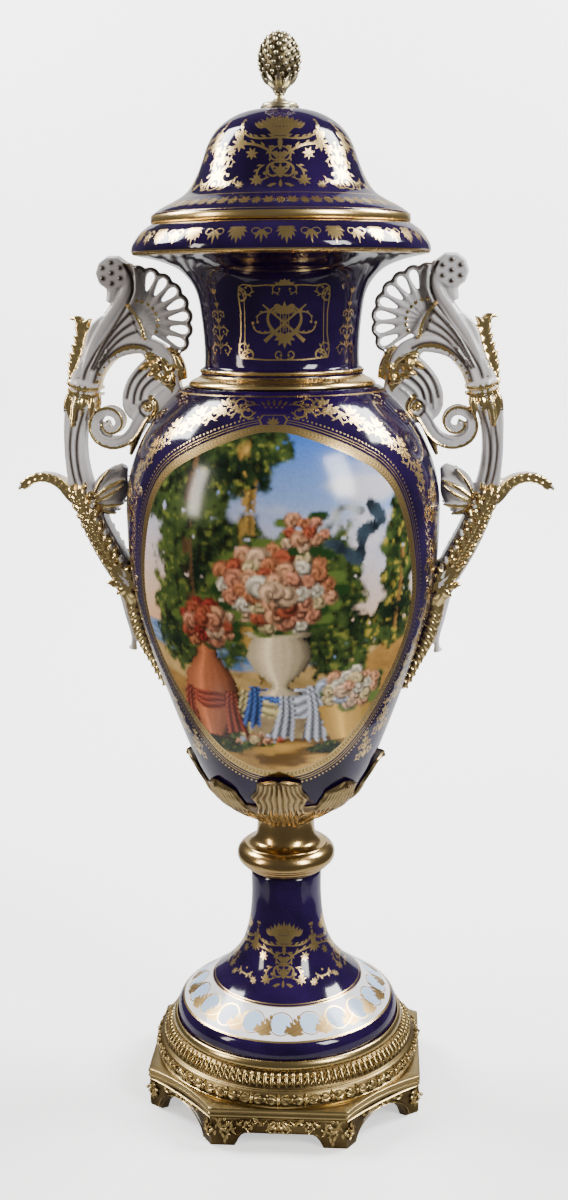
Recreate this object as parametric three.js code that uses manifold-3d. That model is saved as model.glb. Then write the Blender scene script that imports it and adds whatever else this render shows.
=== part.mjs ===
// Lidded porcelain vase on a footed bronze base: cobalt body with a hollow belly, flared mouth
// and domed lid, two white-and-gilt scrolled handles, and gilt-bronze mounts.
// Millimetres, +Z up, origin in the middle of the underside, handles along X, front towards -Y.

import * as THREE from "three";
import { mergeVertices } from "three/addons/utils/BufferGeometryUtils.js";
import Module from "manifold-3d";

const wasm = await Module();
wasm.setup();
const { Manifold, Mesh } = wasm;

// Driving dimensions

const clearance = 0.3;
const overlap = 1;
const roundFacets = 24;

const plinthWidth = 334;
const plinthFaceWidth = 164;
const cornerHollow = 7.5;
const footClearHeight = 16.6;
const footTopWidth = 42.5;
const footToeWidth = 29;
const cornerArchWidth = 84;
const cornerArchHeight = 28;
const apronHeight = 38;
const apronSetback = 1.5;
const slabHeight = 11;
const bronzeWall = 9;

const ringLowerRadius = 165;
const ringUpperRadius = 138;
const ringRise = 39;
const ringSeatWidth = 13;
const tongueCount = 18;
const tongueRelief = 2.4;

const pedestalRadius = 138;
const pedestalStemRadius = 43.5;
const pedestalRise = 196;
const pedestalEdgeHeight = 11;
const pedestalBandHeight = 25;
const pedestalWall = 8;

const knopRadius = 60.3;
const knopWaistRadius = 35;
const knopRise = 68.5;
const knopFootLip = 1;

const cupFloor = 9;
const cupLeafHeight = 92;
const cupShortLeafHeight = 74;
const cupValleyHeight = 44;
const cupThickness = 5;
const cupTipCurl = 8;
const cupRibRelief = 1.2;
const cupCurlFrom = 0.8;
const cupRibsPerLeaf = 3;
const cupWaistLip = 1;
const cupLeaves = 8;
const cupFacetsPerLeaf = 5;

const bodyRadius = 184.5;
const bellyRise = 372;
const shoulderRise = 144;
const neckRingRadius = 108.5;
const neckRingRise = 23;
const neckRadius = 89;
const neckRise = 125;
const neckCollarSwell = 9;
const mouthRadius = 170.7;
const mouthRise = 33;
const mouthOpeningRadius = 138;
const mouthCushion = 11;
const bodyWall = 8;

const lidRadius = 147;
const lidDomeRadius = 92;
const lidRise = 124.7;
const lidFlangeHeight = 9;
const lidWall = 7;
const lidLipDepth = 12;
const lidLipPlay = 2;
const lidLipTaper = 1;
const lidLipRoot = 2;
const lidBrim = 9;

const finialDiscRadius = 21.8;
const finialDiscHeight = 5;
const finialCollarHeight = 6;
const finialCollarRise = 11;
const finialStemRadius = 4.1;
const coneRadius = 22.5;
const coneRise = 63;
const finialStemRise = 21;
const coneRows = 8;
const coneScalesAround = 8;
const coneScaleRelief = 1.6;

const handleHeight = 506;
const handleFanThickness = 14;
const handleHeadDepth = 38;
const handleHeadBevel = 4;
const roundelRise = 1;
const scrollEyeRise = 4;
const fanLobes = 8;

// Levels, each from the piece below it

const slabTop = apronHeight + slabHeight;
const ringTop = slabTop + ringRise;
const pedestalBottom = ringTop + clearance;
const pedestalTop = pedestalBottom + pedestalRise;
const knopBottom = pedestalTop + clearance;
const knopTop = knopBottom + knopRise;
const cupBottom = knopTop + clearance;
const bodyBottom = cupBottom + cupFloor + clearance;
const bellyLevel = bodyBottom + bellyRise;
const shoulderTop = bellyLevel + shoulderRise;
const neckBottom = shoulderTop + neckRingRise;
const neckTop = neckBottom + neckRise;
const mouthTop = neckTop + mouthRise;
const lidBottom = mouthTop + clearance;
const lidTop = lidBottom + lidRise;
const finialBottom = lidTop + clearance;

// Solids from geometries

function meshArrays(geometry) {
  const bare = geometry.clone();
  bare.deleteAttribute("normal");
  bare.deleteAttribute("uv");
  const merged = mergeVertices(bare, 1e-3);
  const index = Array.from(merged.index.array);
  const triangles = [];
  for (let i = 0; i < index.length; i += 3) {
    const [a, b, c] = index.slice(i, i + 3);
    if (a !== b && b !== c && c !== a) triangles.push(a, b, c);
  }
  return { vertices: new Float32Array(merged.attributes.position.array), triangles };
}

function solid(geometry) {
  const { vertices, triangles } = meshArrays(geometry);
  const build = (list) =>
    new Manifold(new Mesh({ numProp: 3, vertProperties: vertices, triVerts: new Uint32Array(list) }));
  const made = build(triangles);
  if (made.volume() > 0) return made;
  const turned = [];
  for (let i = 0; i < triangles.length; i += 3) {
    turned.push(triangles[i], triangles[i + 2], triangles[i + 1]);
  }
  return build(turned);
}

function join(solids) {
  return solids.reduce((whole, next) => whole.add(next));
}

function geometryOf(manifold) {
  const mesh = manifold.getMesh();
  const geometry = new THREE.BufferGeometry();
  const positions = new Float32Array(mesh.numVert * 3);
  for (let i = 0; i < mesh.numVert; i += 1) {
    for (let k = 0; k < 3; k += 1) positions[3 * i + k] = mesh.vertProperties[mesh.numProp * i + k];
  }
  geometry.setAttribute("position", new THREE.BufferAttribute(positions, 3));
  geometry.setIndex(new THREE.BufferAttribute(new Uint32Array(mesh.triVerts), 1));
  geometry.computeVertexNormals();
  return geometry;
}

// Profiles are lists of Vector2, x the radius and y the height.

const at = (radius, height) => new THREE.Vector2(radius, height);

function curveThrough(points, count) {
  const spatial = points.map((p) => new THREE.Vector3(p.x, p.y, 0));
  const curve = new THREE.CatmullRomCurve3(spatial, false, "centripetal");
  return curve.getSpacedPoints(count).map((p) => at(p.x, p.y));
}

// Moves an open profile sideways by a distance, to the right of its direction of travel.
function shifted(points, distance) {
  return points.map((point, i) => {
    const before = points[Math.max(i - 1, 0)];
    const after = points[Math.min(i + 1, points.length - 1)];
    const along = after.clone().sub(before).normalize();
    return at(Math.max(point.x + along.y * distance, 0), point.y - along.x * distance);
  });
}

function turned(profile, facets = roundFacets) {
  const geometry = new THREE.LatheGeometry(profile, facets);
  geometry.rotateX(Math.PI / 2);
  return geometry;
}

function reshaped(geometry, change) {
  const position = geometry.attributes.position;
  const point = new THREE.Vector3();
  for (let i = 0; i < position.count; i += 1) {
    point.fromBufferAttribute(position, i);
    change(point);
    position.setXYZ(i, point.x, point.y, point.z);
  }
  return geometry;
}

// Footed bronze base: an eight-sided plinth with four hollowed corners and a round stepped ring

function plinthOutline(inset) {
  const side = plinthWidth / 2 - inset;
  const face = plinthFaceWidth / 2 - inset * Math.tan(Math.PI / 8);
  const bend = (side + face) / 2 - cornerHollow * Math.SQRT2;
  const shape = new THREE.Shape();
  shape.moveTo(-face, -side);
  for (let quarter = 0; quarter < 4; quarter += 1) {
    const turn = (x, y) => at(x, y).rotateAround(at(0, 0), (quarter * Math.PI) / 2);
    const corner = turn(face, -side);
    const control = turn(bend, -bend);
    const end = turn(side, -face);
    shape.lineTo(corner.x, corner.y);
    shape.quadraticCurveTo(control.x, control.y, end.x, end.y);
  }
  return shape;
}

function plate(shape, bottom, top, steps = 4) {
  const geometry = new THREE.ExtrudeGeometry(shape, {
    depth: top - bottom,
    bevelEnabled: false,
    curveSegments: steps,
  });
  geometry.translate(0, 0, bottom);
  return solid(geometry);
}

// A cutter that runs right through the plinth along the direction given by its angle.
function tunnel(shape, angle) {
  const length = plinthWidth * 1.5;
  const geometry = new THREE.ExtrudeGeometry(shape, { depth: length, bevelEnabled: false, curveSegments: 6 });
  geometry.translate(0, 0, -length / 2);
  geometry.rotateX(Math.PI / 2);
  geometry.rotateZ(angle);
  return solid(geometry);
}

function apronOpening() {
  const topHalf = plinthFaceWidth / 2 - footTopWidth;
  const toeHalf = plinthFaceWidth / 2 - footToeWidth;
  const shape = new THREE.Shape();
  shape.moveTo(-toeHalf, -overlap);
  shape.lineTo(toeHalf, -overlap);
  shape.lineTo(topHalf, footClearHeight);
  shape.lineTo(-topHalf, footClearHeight);
  return shape;
}

function cornerArch() {
  const shape = new THREE.Shape();
  shape.absellipse(0, 0, cornerArchWidth / 2, cornerArchHeight, 0, Math.PI, false, 0);
  shape.lineTo(-cornerArchWidth / 2, -overlap);
  shape.lineTo(cornerArchWidth / 2, -overlap);
  return shape;
}

function ringGeometry() {
  const spread = ringLowerRadius - ringUpperRadius;
  const onRing = (out, up) => at(ringUpperRadius + out * spread, slabTop + up * ringRise);
  const seatInner = ringUpperRadius - ringSeatWidth;
  const lowerInner = ringLowerRadius - bronzeWall * 1.6;
  const profile = [
    onRing(1, -0.02),
    onRing(1, 0.08),
    onRing(0.93, 0.2),
    onRing(0.72, 0.56),
    onRing(0.64, 0.66),
    onRing(0.4, 0.86),
    onRing(0, 1),
    at(seatInner, ringTop),
    at(seatInner, ringTop - bronzeWall),
    at(lowerInner, slabTop - slabHeight / 2),
    onRing(1, -0.02),
  ];
  const geometry = turned(profile, tongueCount * 2);
  const friezeLow = slabTop + ringRise * 0.65;
  return reshaped(geometry, (p) => {
    const radius = Math.hypot(p.x, p.y);
    const onFrieze = p.z > friezeLow && p.z < ringTop - overlap && radius > ringUpperRadius;
    if (!onFrieze) return;
    const lobe = Math.cos(Math.atan2(p.y, p.x) * tongueCount);
    p.z += (lobe - 1) * tongueRelief * 0.5;
  });
}

function bronzeBase() {
  const apron = plate(plinthOutline(apronSetback), 0, apronHeight);
  const slab = plate(plinthOutline(0), apronHeight - overlap, slabTop);
  const hollow = plate(plinthOutline(apronSetback + bronzeWall), -overlap, slabTop - bronzeWall);
  const wellRadius = ringLowerRadius - bronzeWall * 2;
  const well = solid(turned([
    at(0, -overlap),
    at(wellRadius, -overlap),
    at(wellRadius, slabTop + overlap),
    at(0, slabTop + overlap),
  ]));
  let base = apron.add(slab).subtract(hollow).subtract(well);
  for (const angle of [0, Math.PI / 2]) base = base.subtract(tunnel(apronOpening(), angle));
  for (const angle of [Math.PI / 4, -Math.PI / 4]) base = base.subtract(tunnel(cornerArch(), angle));
  return base.add(solid(ringGeometry()));
}

// Pedestal: the hollow porcelain foot, a broad painted band that sweeps up into a slim stem

function pedestal() {
  const level = (share) => pedestalBottom + share * pedestalRise;
  const spread = pedestalRadius - pedestalStemRadius;
  const out = (share) => pedestalStemRadius + share * spread;
  const bandTop = pedestalBottom + pedestalBandHeight;
  const sweep = curveThrough([
    at(out(0.965), bandTop),
    at(out(0.72), level(0.21)),
    at(out(0.52), level(0.277)),
    at(out(0.335), level(0.357)),
    at(out(0.15), level(0.473)),
    at(out(0.04), level(0.634)),
    at(out(0), level(0.804)),
    at(out(0), pedestalTop),
  ], 8);
  const edgeTop = pedestalBottom + pedestalEdgeHeight;
  const outside = [at(pedestalRadius, pedestalBottom), at(pedestalRadius, edgeTop), ...sweep];
  const inside = shifted(sweep, -pedestalWall).filter(
    (p, i) => i % 2 === 0 && p.y < pedestalTop - pedestalWall * 2,
  );
  inside.unshift(at(pedestalRadius - pedestalWall, pedestalBottom));
  const profile = [...outside, at(0, pedestalTop), at(0, pedestalTop - pedestalWall)];
  profile.push(at(inside.at(-1).x, pedestalTop - pedestalWall), ...inside.reverse());
  profile.push(at(pedestalRadius, pedestalBottom));
  return solid(turned(profile));
}

// Knop: the turned gilt-bronze collar between pedestal and cup

function knop() {
  const level = (share) => knopBottom + share * knopRise;
  const spread = knopRadius - knopWaistRadius;
  const out = (share) => knopWaistRadius + share * spread;
  return solid(turned([
    at(0, knopBottom),
    at(pedestalStemRadius + knopFootLip, knopBottom),
    at(out(0.72), level(0.12)),
    at(out(1), level(0.25)),
    at(out(0.96), level(0.36)),
    at(out(0.7), level(0.47)),
    at(out(0.26), level(0.55)),
    at(out(0.02), level(0.68)),
    at(out(0), knopTop),
    at(0, knopTop),
  ]));
}

// Body: one hollow porcelain vessel from the floor in the cup to the flared mouth

function bodyOutside() {
  const bulge = (out, up) => at(bodyRadius * out, bodyBottom + bellyRise * up);
  const lower = curveThrough([
    bulge(0.15, 0),
    bulge(0.27, 0.01),
    bulge(0.37, 0.037),
    bulge(0.46, 0.07),
    bulge(0.55, 0.14),
    bulge(0.612, 0.208),
    bulge(0.695, 0.315),
    bulge(0.773, 0.423),
    bulge(0.867, 0.557),
    bulge(0.945, 0.7),
    bulge(0.989, 0.853),
    bulge(1, 1),
  ], 8);
  const shoulder = new THREE.EllipseCurve(
    neckRingRadius * 0.1, bellyLevel, bodyRadius - neckRingRadius * 0.1, shoulderRise * 1.24, 0, Math.PI / 2,
  );
  const reach = Math.asin(1 / 1.24) / (Math.PI / 2);
  const upper = [0.36, 0.7, 1].map((share) => shoulder.getPoint(share * reach));
  const ringLevel = (share) => shoulderTop + neckRingRise * share;
  const ring = [
    at(neckRingRadius, ringLevel(0.02)),
    at(neckRingRadius, ringLevel(0.12)),
    at(neckRadius + neckCollarSwell, ringLevel(0.42)),
    at(neckRadius + neckCollarSwell * 0.39, ringLevel(0.62)),
    at(neckRadius + neckCollarSwell * 0.67, ringLevel(0.82)),
  ];
  const neckLevel = (share) => neckBottom + neckRise * share;
  const flare = mouthRadius - neckRadius;
  const neck = curveThrough([
    at(neckRadius + flare * 0.006, neckBottom),
    at(neckRadius, neckLevel(0.1)),
    at(neckRadius + flare * 0.029, neckLevel(0.4)),
    at(neckRadius + flare * 0.115, neckLevel(0.69)),
    at(neckRadius + flare * 0.32, neckLevel(0.86)),
    at(neckRadius + flare * 0.58, neckLevel(0.94)),
    at(mouthRadius - mouthCushion * 0.27, neckTop),
  ], 5);
  const mouthLevel = (share) => neckTop + mouthRise * share;
  const cushion = [
    at(mouthRadius, mouthLevel(0.17)),
    at(mouthRadius - mouthCushion * 0.36, mouthLevel(0.45)),
    at(mouthRadius - mouthCushion, mouthLevel(0.74)),
    at(lidRadius + overlap, mouthTop),
  ];
  return [...lower, ...upper, ...ring, ...neck, ...cushion];
}

function bodyInside() {
  const inner = shifted(bodyOutside(), -bodyWall);
  const floor = bodyBottom + bodyWall;
  const belly = inner.filter((p) => p.y > floor + bodyWall && p.y < shoulderTop - bodyWall * 2);
  const neck = inner.filter((p) => p.y > neckBottom && p.y < neckTop);
  return [
    at(0, floor),
    at(bodyRadius * 0.15, floor),
    ...belly.filter((p, i) => i % 3 === 0),
    at(neckRingRadius - bodyWall, shoulderTop - bodyWall),
    at(neckRadius - bodyWall, shoulderTop + neckRingRise * 0.4),
    ...neck.filter((p, i) => i % 2 === 0),
    at(mouthRadius - bodyWall * 2, neckTop + bodyWall * 0.9),
    at(mouthRadius - bodyWall * 1.4, neckTop + bodyWall * 1.5),
    at(mouthRadius - bodyWall * 2.1, mouthTop - bodyWall * 1.9),
    at(mouthOpeningRadius, mouthTop - bodyWall),
  ];
}

function body() {
  const profile = [at(0, bodyBottom), ...bodyOutside()];
  profile.push(at(mouthOpeningRadius, mouthTop), ...bodyInside().reverse());
  return solid(turned(profile));
}

// The full outer form grown by the clearance, to cut what sits against the body
function bodyRoom() {
  const grown = shifted(bodyOutside(), clearance);
  const bottom = bodyBottom - clearance;
  const profile = [at(0, bottom), at(grown[0].x, bottom), ...grown, at(0, mouthTop + clearance)];
  return solid(turned(profile));
}

// Leaf cup: eight cast acanthus leaves, four of them taller with curled tips, on a common floor

function radiusOn(profile, height) {
  const i = profile.findIndex((p) => p.y > height);
  if (i < 1) return 0;
  const low = profile[i - 1];
  const high = profile[i];
  return THREE.MathUtils.mapLinear(height, low.y, high.y, low.x, high.x);
}

function leafCup() {
  const leafFace = shifted(bodyOutside(), cupThickness);
  const waist = knopWaistRadius + cupWaistLip;
  const shares = [0, 0.06, 0.16, 0.4, 0.75, 1];
  const profile = [at(0, 0), ...shares.map((share) => at(1, share)), at(0.5, 1), at(0, 1)];
  const geometry = turned(profile, cupLeaves * cupFacetsPerLeaf);
  reshaped(geometry, (p) => {
    const angle = Math.atan2(p.y, p.x);
    const flat = Math.hypot(p.x, p.y);
    const wave = Math.cos((angle * cupLeaves) / 2);
    const tip = wave > 0 ? cupLeafHeight : cupShortLeafHeight;
    const height = cupValleyHeight + (tip - cupValleyHeight) * Math.abs(wave) ** 0.8;
    const share = flat > 0 ? p.z : Math.round(p.z);
    const level = cupBottom + share * (flat > 0.9 ? height : cupValleyHeight);
    const rib = cupRibRelief * Math.cos(angle * cupLeaves * cupRibsPerLeaf) * Math.min(share * 3, 1);
    const towardsTip = Math.max(share - cupCurlFrom, 0) / (1 - cupCurlFrom);
    const curl = wave > 0 ? cupTipCurl * wave ** 3 * towardsTip : 0;
    const radius = Math.max(radiusOn(leafFace, level), waist) + rib + curl;
    p.set(Math.cos(angle) * radius * flat, Math.sin(angle) * radius * flat, level);
  });
  return solid(geometry).subtract(bodyRoom());
}

// Handles are drawn in the plane of the handle, in thousandths of the handle's height, measured
// out from the widest part of the belly and up from its level.

const handleOut = (share) => bodyRadius + (share * handleHeight) / 1000;
const handleUp = (share) => bellyLevel + (share * handleHeight) / 1000;
const handleSize = (share) => (share * handleHeight) / 1000;

// A limb follows its stations, each [out, up, half width in the plane, half depth across it].
function limb(stations, sides = 6, steps = stations.length - 1) {
  const path = new THREE.CatmullRomCurve3(
    stations.map(([out, up]) => new THREE.Vector3(handleOut(out), 0, handleUp(up))), false, "centripetal",
  );
  const size = new THREE.CatmullRomCurve3(
    stations.map(([, , width, depth]) => new THREE.Vector3(handleSize(width), handleSize(depth), 0)),
  );
  const geometry = new THREE.CylinderGeometry(1, 1, 1, sides, steps);
  geometry.rotateY(Math.PI / sides);
  reshaped(geometry, (p) => {
    const share = Math.min(Math.max(p.y + 0.5, 0), 1);
    const centre = path.getPoint(share);
    const along = path.getTangent(share);
    const section = size.getPoint(share);
    const across = p.x * section.x;
    p.set(centre.x + along.z * across, p.z * section.y, centre.z - along.x * across);
  });
  return solid(geometry);
}

function handlePlate(points, thickness, bevel, holes = []) {
  const shape = new THREE.Shape(points);
  for (const hole of holes) shape.holes.push(new THREE.Path(hole));
  const geometry = new THREE.ExtrudeGeometry(shape, {
    depth: thickness - 2 * bevel,
    bevelEnabled: bevel > 0,
    bevelThickness: bevel,
    bevelSize: bevel,
    bevelOffset: -bevel,
    bevelSegments: 1,
  });
  geometry.translate(0, 0, -thickness / 2 + bevel);
  geometry.rotateX(Math.PI / 2);
  return solid(geometry);
}

const handleStem = [
  [89, 294, 34, 38], [103, 251, 31, 40], [114, 219, 28, 42], [119, 146, 25, 44], [115, 89, 26, 46],
  [103, 30, 30, 49], [77, -42, 32, 50], [48, -101, 33, 50], [19, -152, 31, 47], [-12, -192, 28, 40],
];
const handleSprig = [
  [114, 286, 14, 18], [110, 336, 18, 22], [99, 375, 15, 18], [92, 415, 10, 14], [100, 437, 8, 10],
  [126, 438, 2, 3],
];
const handleSpur = [
  [104, 20, 26, 32], [128, 34, 22, 30], [153, 57, 18, 26], [183, 71, 13, 22], [216, 71, 9, 16],
  [242, 57, 6, 10], [261, 43, 2, 4],
];
const handleLeaf = [
  [6, 100, 10, 18], [26, 72, 34, 34], [40, 36, 42, 40], [38, 8, 28, 30], [33, -8, 6, 10],
];
const handleCluster = [[34, -122, 20, 34], [8, -158, 40, 50], [-4, -196, 34, 44], [-11, -230, 18, 28]];
const handleTail = [
  [-6, -215, 24, 30], [-16, -267, 22, 27], [-30, -316, 20, 24], [-52, -366, 15, 18], [-69, -405, 12, 14],
  [-86, -433, 8, 8],
];
const handleRod = [
  [23, -200, 8, 10], [9, -259, 8, 10], [-3, -312, 7, 10], [-2, -334, 9, 12], [0, -341, 14, 14],
];
const handleSpike = [[11, 154, 14, 24], [-1, 136, 12, 20], [-22, 118, 5, 8]];

const handleHead = [
  [122, 283], [94, 356], [70, 425], [32, 455], [11, 478], [6, 500], [4, 532], [-7, 559], [-25, 561],
  [-23, 524], [-19, 494], [-21, 462], [-42, 403], [-70, 391], [-96, 377], [-116, 348], [-127, 306],
  [-137, 263], [-150, 235], [-118, 212], [-68, 200], [-25, 204], [-4, 222], [3, 247], [-4, 273],
  [-21, 300], [-45, 321], [-53, 344], [-46, 358], [-23, 358], [12, 348], [38, 326], [54, 300], [62, 279],
];

const handleHeadPoints = 30;
const roundelCentre = [25, 536];
const roundelRadius = 34;
const scrollEyeCentre = [-56, 237];
const scrollEyeRadius = 18;
const voluteCentre = [29, 188];
const fanCentre = [-33, 428];
const fanRadius = 124;
const fanLowest = -33;
const fanHighest = 96;
const fanLobeSwell = 5;
const fanRootRadius = 20;
const fanWedge = [[-48, 146], [-62, 138], [-80, 60]];
const slotInnerRadius = 52;
const slotShoulderRadius = 100;
const slotOuterRadius = 110;
const slotHalfAngle = 3.6;

// A boss is a short round bar across the handle's plane.
function boss([out, up], radius, depth) {
  const geometry = new THREE.CylinderGeometry(handleSize(radius), handleSize(radius), depth, 12);
  geometry.translate(handleOut(out), 0, handleUp(up));
  return solid(geometry);
}

function volute() {
  const stations = [];
  const turnFrom = 150;
  const turnBy = 480;
  const stops = 12;
  const start = { radius: 61, width: 14, depth: 36 };
  const eye = { radius: 6, width: 9, depth: 22 };
  for (let i = 0; i <= stops; i += 1) {
    const share = i / stops;
    const angle = THREE.MathUtils.degToRad(turnFrom + turnBy * share);
    const radius = start.radius * (1 - share) ** 1.2 + eye.radius * share;
    const width = THREE.MathUtils.lerp(start.width, eye.width, share);
    const depth = THREE.MathUtils.lerp(start.depth, eye.depth, share);
    const [out, up] = voluteCentre;
    stations.push([out + radius * Math.cos(angle), up + radius * Math.sin(angle), width, depth]);
  }
  return limb(stations, 6, 9);
}

function onFan(degrees, radius) {
  const angle = THREE.MathUtils.degToRad(degrees);
  return at(
    handleOut(fanCentre[0] - radius * Math.cos(angle)),
    handleUp(fanCentre[1] + radius * Math.sin(angle)),
  );
}

function shellFan() {
  const lobe = (fanHighest - fanLowest) / fanLobes;
  const edge = [onFan(fanHighest + 10, fanRootRadius), onFan(fanHighest + 8, fanRadius - fanLobeSwell)];
  for (let i = fanLobes; i > 0; i -= 1) {
    const high = fanLowest + i * lobe;
    for (const share of [0, 0.5]) {
      const swell = share === 0 ? 0 : fanLobeSwell;
      edge.push(onFan(high - share * lobe, fanRadius + swell));
    }
  }
  edge.push(onFan(fanLowest, fanRadius), ...fanWedge.map(([angle, radius]) => onFan(angle, radius)));
  const slots = [];
  for (let i = 0; i < fanLobes - 1; i += 1) {
    const middle = fanLowest + (i + 0.5) * lobe;
    slots.push([
      onFan(middle, slotInnerRadius),
      onFan(middle - slotHalfAngle, slotShoulderRadius),
      onFan(middle, slotOuterRadius),
      onFan(middle + slotHalfAngle, slotShoulderRadius),
    ]);
  }
  return handlePlate(edge, handleFanThickness, 0, slots);
}

function handleSolid() {
  const corners = handleHead.map(([out, up]) => new THREE.Vector3(handleOut(out), handleUp(up), 0));
  const outline = new THREE.CatmullRomCurve3(corners, true, "centripetal");
  const headPoints = outline.getPoints(handleHeadPoints).slice(1).map((p) => at(p.x, p.y));
  const head = handlePlate(headPoints, handleHeadDepth, handleHeadBevel);
  const limbs = [handleStem, handleLeaf, handleCluster];
  const slimLimbs = [handleSprig, handleSpur, handleTail, handleRod, handleSpike];
  const parts = [
    head,
    shellFan(),
    volute(),
    boss(roundelCentre, roundelRadius, handleHeadDepth + 2 * roundelRise),
    boss(scrollEyeCentre, scrollEyeRadius, handleHeadDepth + 2 * scrollEyeRise),
    ...limbs.map((stations) => limb(stations)),
    ...slimLimbs.map((stations) => limb(stations, 4)),
  ];
  return join(parts).subtract(bodyRoom());
}

// Lid: a hollow bell-shaped dome with a thin flange on the mouth and a lip inside it

function lid() {
  const level = (share) => lidBottom + lidRise * share;
  const dome = curveThrough([
    at(finialDiscRadius, lidTop),
    at(lidDomeRadius * 0.51, level(0.955)),
    at(lidDomeRadius * 0.755, level(0.84)),
    at(lidDomeRadius * 0.885, level(0.7)),
    at(lidDomeRadius * 0.96, level(0.55)),
    at(lidDomeRadius * 1.04, level(0.41)),
    at(lidDomeRadius * 1.165, level(0.275)),
    at(lidRadius - lidBrim, level(0.13)),
    at(lidRadius, lidBottom + lidFlangeHeight),
  ], 7);
  const lipRadius = mouthOpeningRadius - lidLipPlay;
  const inner = shifted(dome, lidWall).filter(
    (p, i) => i % 2 === 0 && p.x < lipRadius - lidWall * 1.43 && p.y < lidTop - lidWall,
  );
  const profile = [
    at(0, lidTop),
    ...dome,
    at(lidRadius, lidBottom),
    at(lipRadius, lidBottom),
    at(lipRadius - lidLipTaper, lidBottom - lidLipDepth),
    at(lipRadius - lidWall, lidBottom - lidLipDepth),
    at(lipRadius - lidWall, lidBottom + lidLipRoot),
    ...inner.reverse(),
    at(0, lidTop - lidWall * 1.15),
  ];
  return solid(turned(profile));
}

// Finial: a gilt-bronze pine cone on a thin stem and a small disc

function finial() {
  const discTop = finialBottom + finialDiscHeight;
  const coneBottom = finialBottom + finialStemRise;
  const profile = [
    at(0, finialBottom),
    at(finialDiscRadius, finialBottom),
    at(finialDiscRadius, discTop),
    at(finialDiscRadius * 0.52, discTop + finialCollarHeight),
    at(finialStemRadius, discTop + finialCollarRise),
    at(finialStemRadius, coneBottom),
  ];
  for (let row = 0; row <= coneRows; row += 1) {
    const share = row / coneRows;
    const swell = Math.sin(Math.PI * share ** 0.85) ** 0.7;
    const radius = row === coneRows ? 0 : Math.max(coneRadius * swell, finialStemRadius);
    profile.push(at(radius, coneBottom + coneRise * share));
  }
  const geometry = turned(profile, coneScalesAround * 2);
  reshaped(geometry, (p) => {
    const radius = Math.hypot(p.x, p.y);
    if (p.z < coneBottom + overlap || radius < finialStemRadius * 0.73) return;
    const row = Math.round(((p.z - coneBottom) / coneRise) * coneRows);
    const step = Math.round((Math.atan2(p.y, p.x) / Math.PI) * coneScalesAround);
    const relief = (row + step) % 2 === 0 ? coneScaleRelief : -coneScaleRelief;
    const grown = (radius + relief) / radius;
    p.set(p.x * grown, p.y * grown, p.z);
  });
  return solid(geometry);
}

// The assembled vase

const cobalt = { color: 0x120a3c, roughness: 0.12, metalness: 0 };
const whiteAndGilt = { color: 0xb9b4ae, roughness: 0.3, metalness: 0 };
const giltBronze = { color: 0xb58a3c, roughness: 0.3, metalness: 1 };
const agedBronze = { color: 0x8a6a38, roughness: 0.42, metalness: 1 };

const vase = new THREE.Group();

function add(name, manifold, finish) {
  const mesh = new THREE.Mesh(geometryOf(manifold), new THREE.MeshStandardMaterial(finish));
  mesh.name = name;
  vase.add(mesh);
  return mesh;
}

add("bronze_base", bronzeBase(), agedBronze);
add("pedestal", pedestal(), cobalt);
add("knop", knop(), giltBronze);
add("leaf_cup", leafCup(), giltBronze);
add("body", body(), cobalt);
add("handle_right", handleSolid(), whiteAndGilt);
const left = add("handle_left", handleSolid(), whiteAndGilt);
left.rotation.z = Math.PI;
add("lid", lid(), cobalt);
add("finial", finial(), giltBronze);

export default vase;
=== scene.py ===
import math

import bpy
import numpy as np
from mathutils import Matrix, Vector, geometry
from mathutils.kdtree import KDTree


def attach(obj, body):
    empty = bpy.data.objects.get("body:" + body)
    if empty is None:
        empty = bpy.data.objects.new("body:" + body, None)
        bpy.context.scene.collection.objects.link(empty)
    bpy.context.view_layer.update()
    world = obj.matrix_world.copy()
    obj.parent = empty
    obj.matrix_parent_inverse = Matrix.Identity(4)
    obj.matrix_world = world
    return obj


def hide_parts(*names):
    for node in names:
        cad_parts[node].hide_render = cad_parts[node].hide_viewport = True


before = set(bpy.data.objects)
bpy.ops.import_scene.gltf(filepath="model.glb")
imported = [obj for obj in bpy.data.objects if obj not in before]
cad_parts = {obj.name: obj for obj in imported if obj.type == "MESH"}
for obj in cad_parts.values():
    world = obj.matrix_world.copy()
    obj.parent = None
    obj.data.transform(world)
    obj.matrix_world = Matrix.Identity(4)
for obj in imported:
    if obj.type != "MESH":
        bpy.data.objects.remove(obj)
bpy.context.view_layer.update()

# Lengths are millimetres in the object's own frame until a mesh is made.
# Angles round the axis are degrees from the front, growing towards the right-hand handle.

# Bronze base
# A cast and gilded bronze plinth on eight short feet, with a turned ring on top that carries a
# band of tongues and a band of husks. It is one casting, rubbed bright on its high parts.

MM = 0.001
CLEARANCE = 0.3
PLINTH_HALF = 167.0
FACE_HALF = 82.0
CORNER_HOLLOW = 7.5
SLAB_BOTTOM = 38.0
APRON_REACH = 80.8
SLAB_TOP = 49.0
RING_TOP = 88.0
BRONZE_WALL = 8.0
APRON_SETBACK = 2.6
CORNER_REACH = 176.2
FOOT_INNER = 39.5
FOOT_TOE = 53.0
APRON_CLEAR = 16.6
ARCH_HALF = 42.0
ARCH_RISE = 28.0
TONGUES = 112
HUSKS = 32


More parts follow.
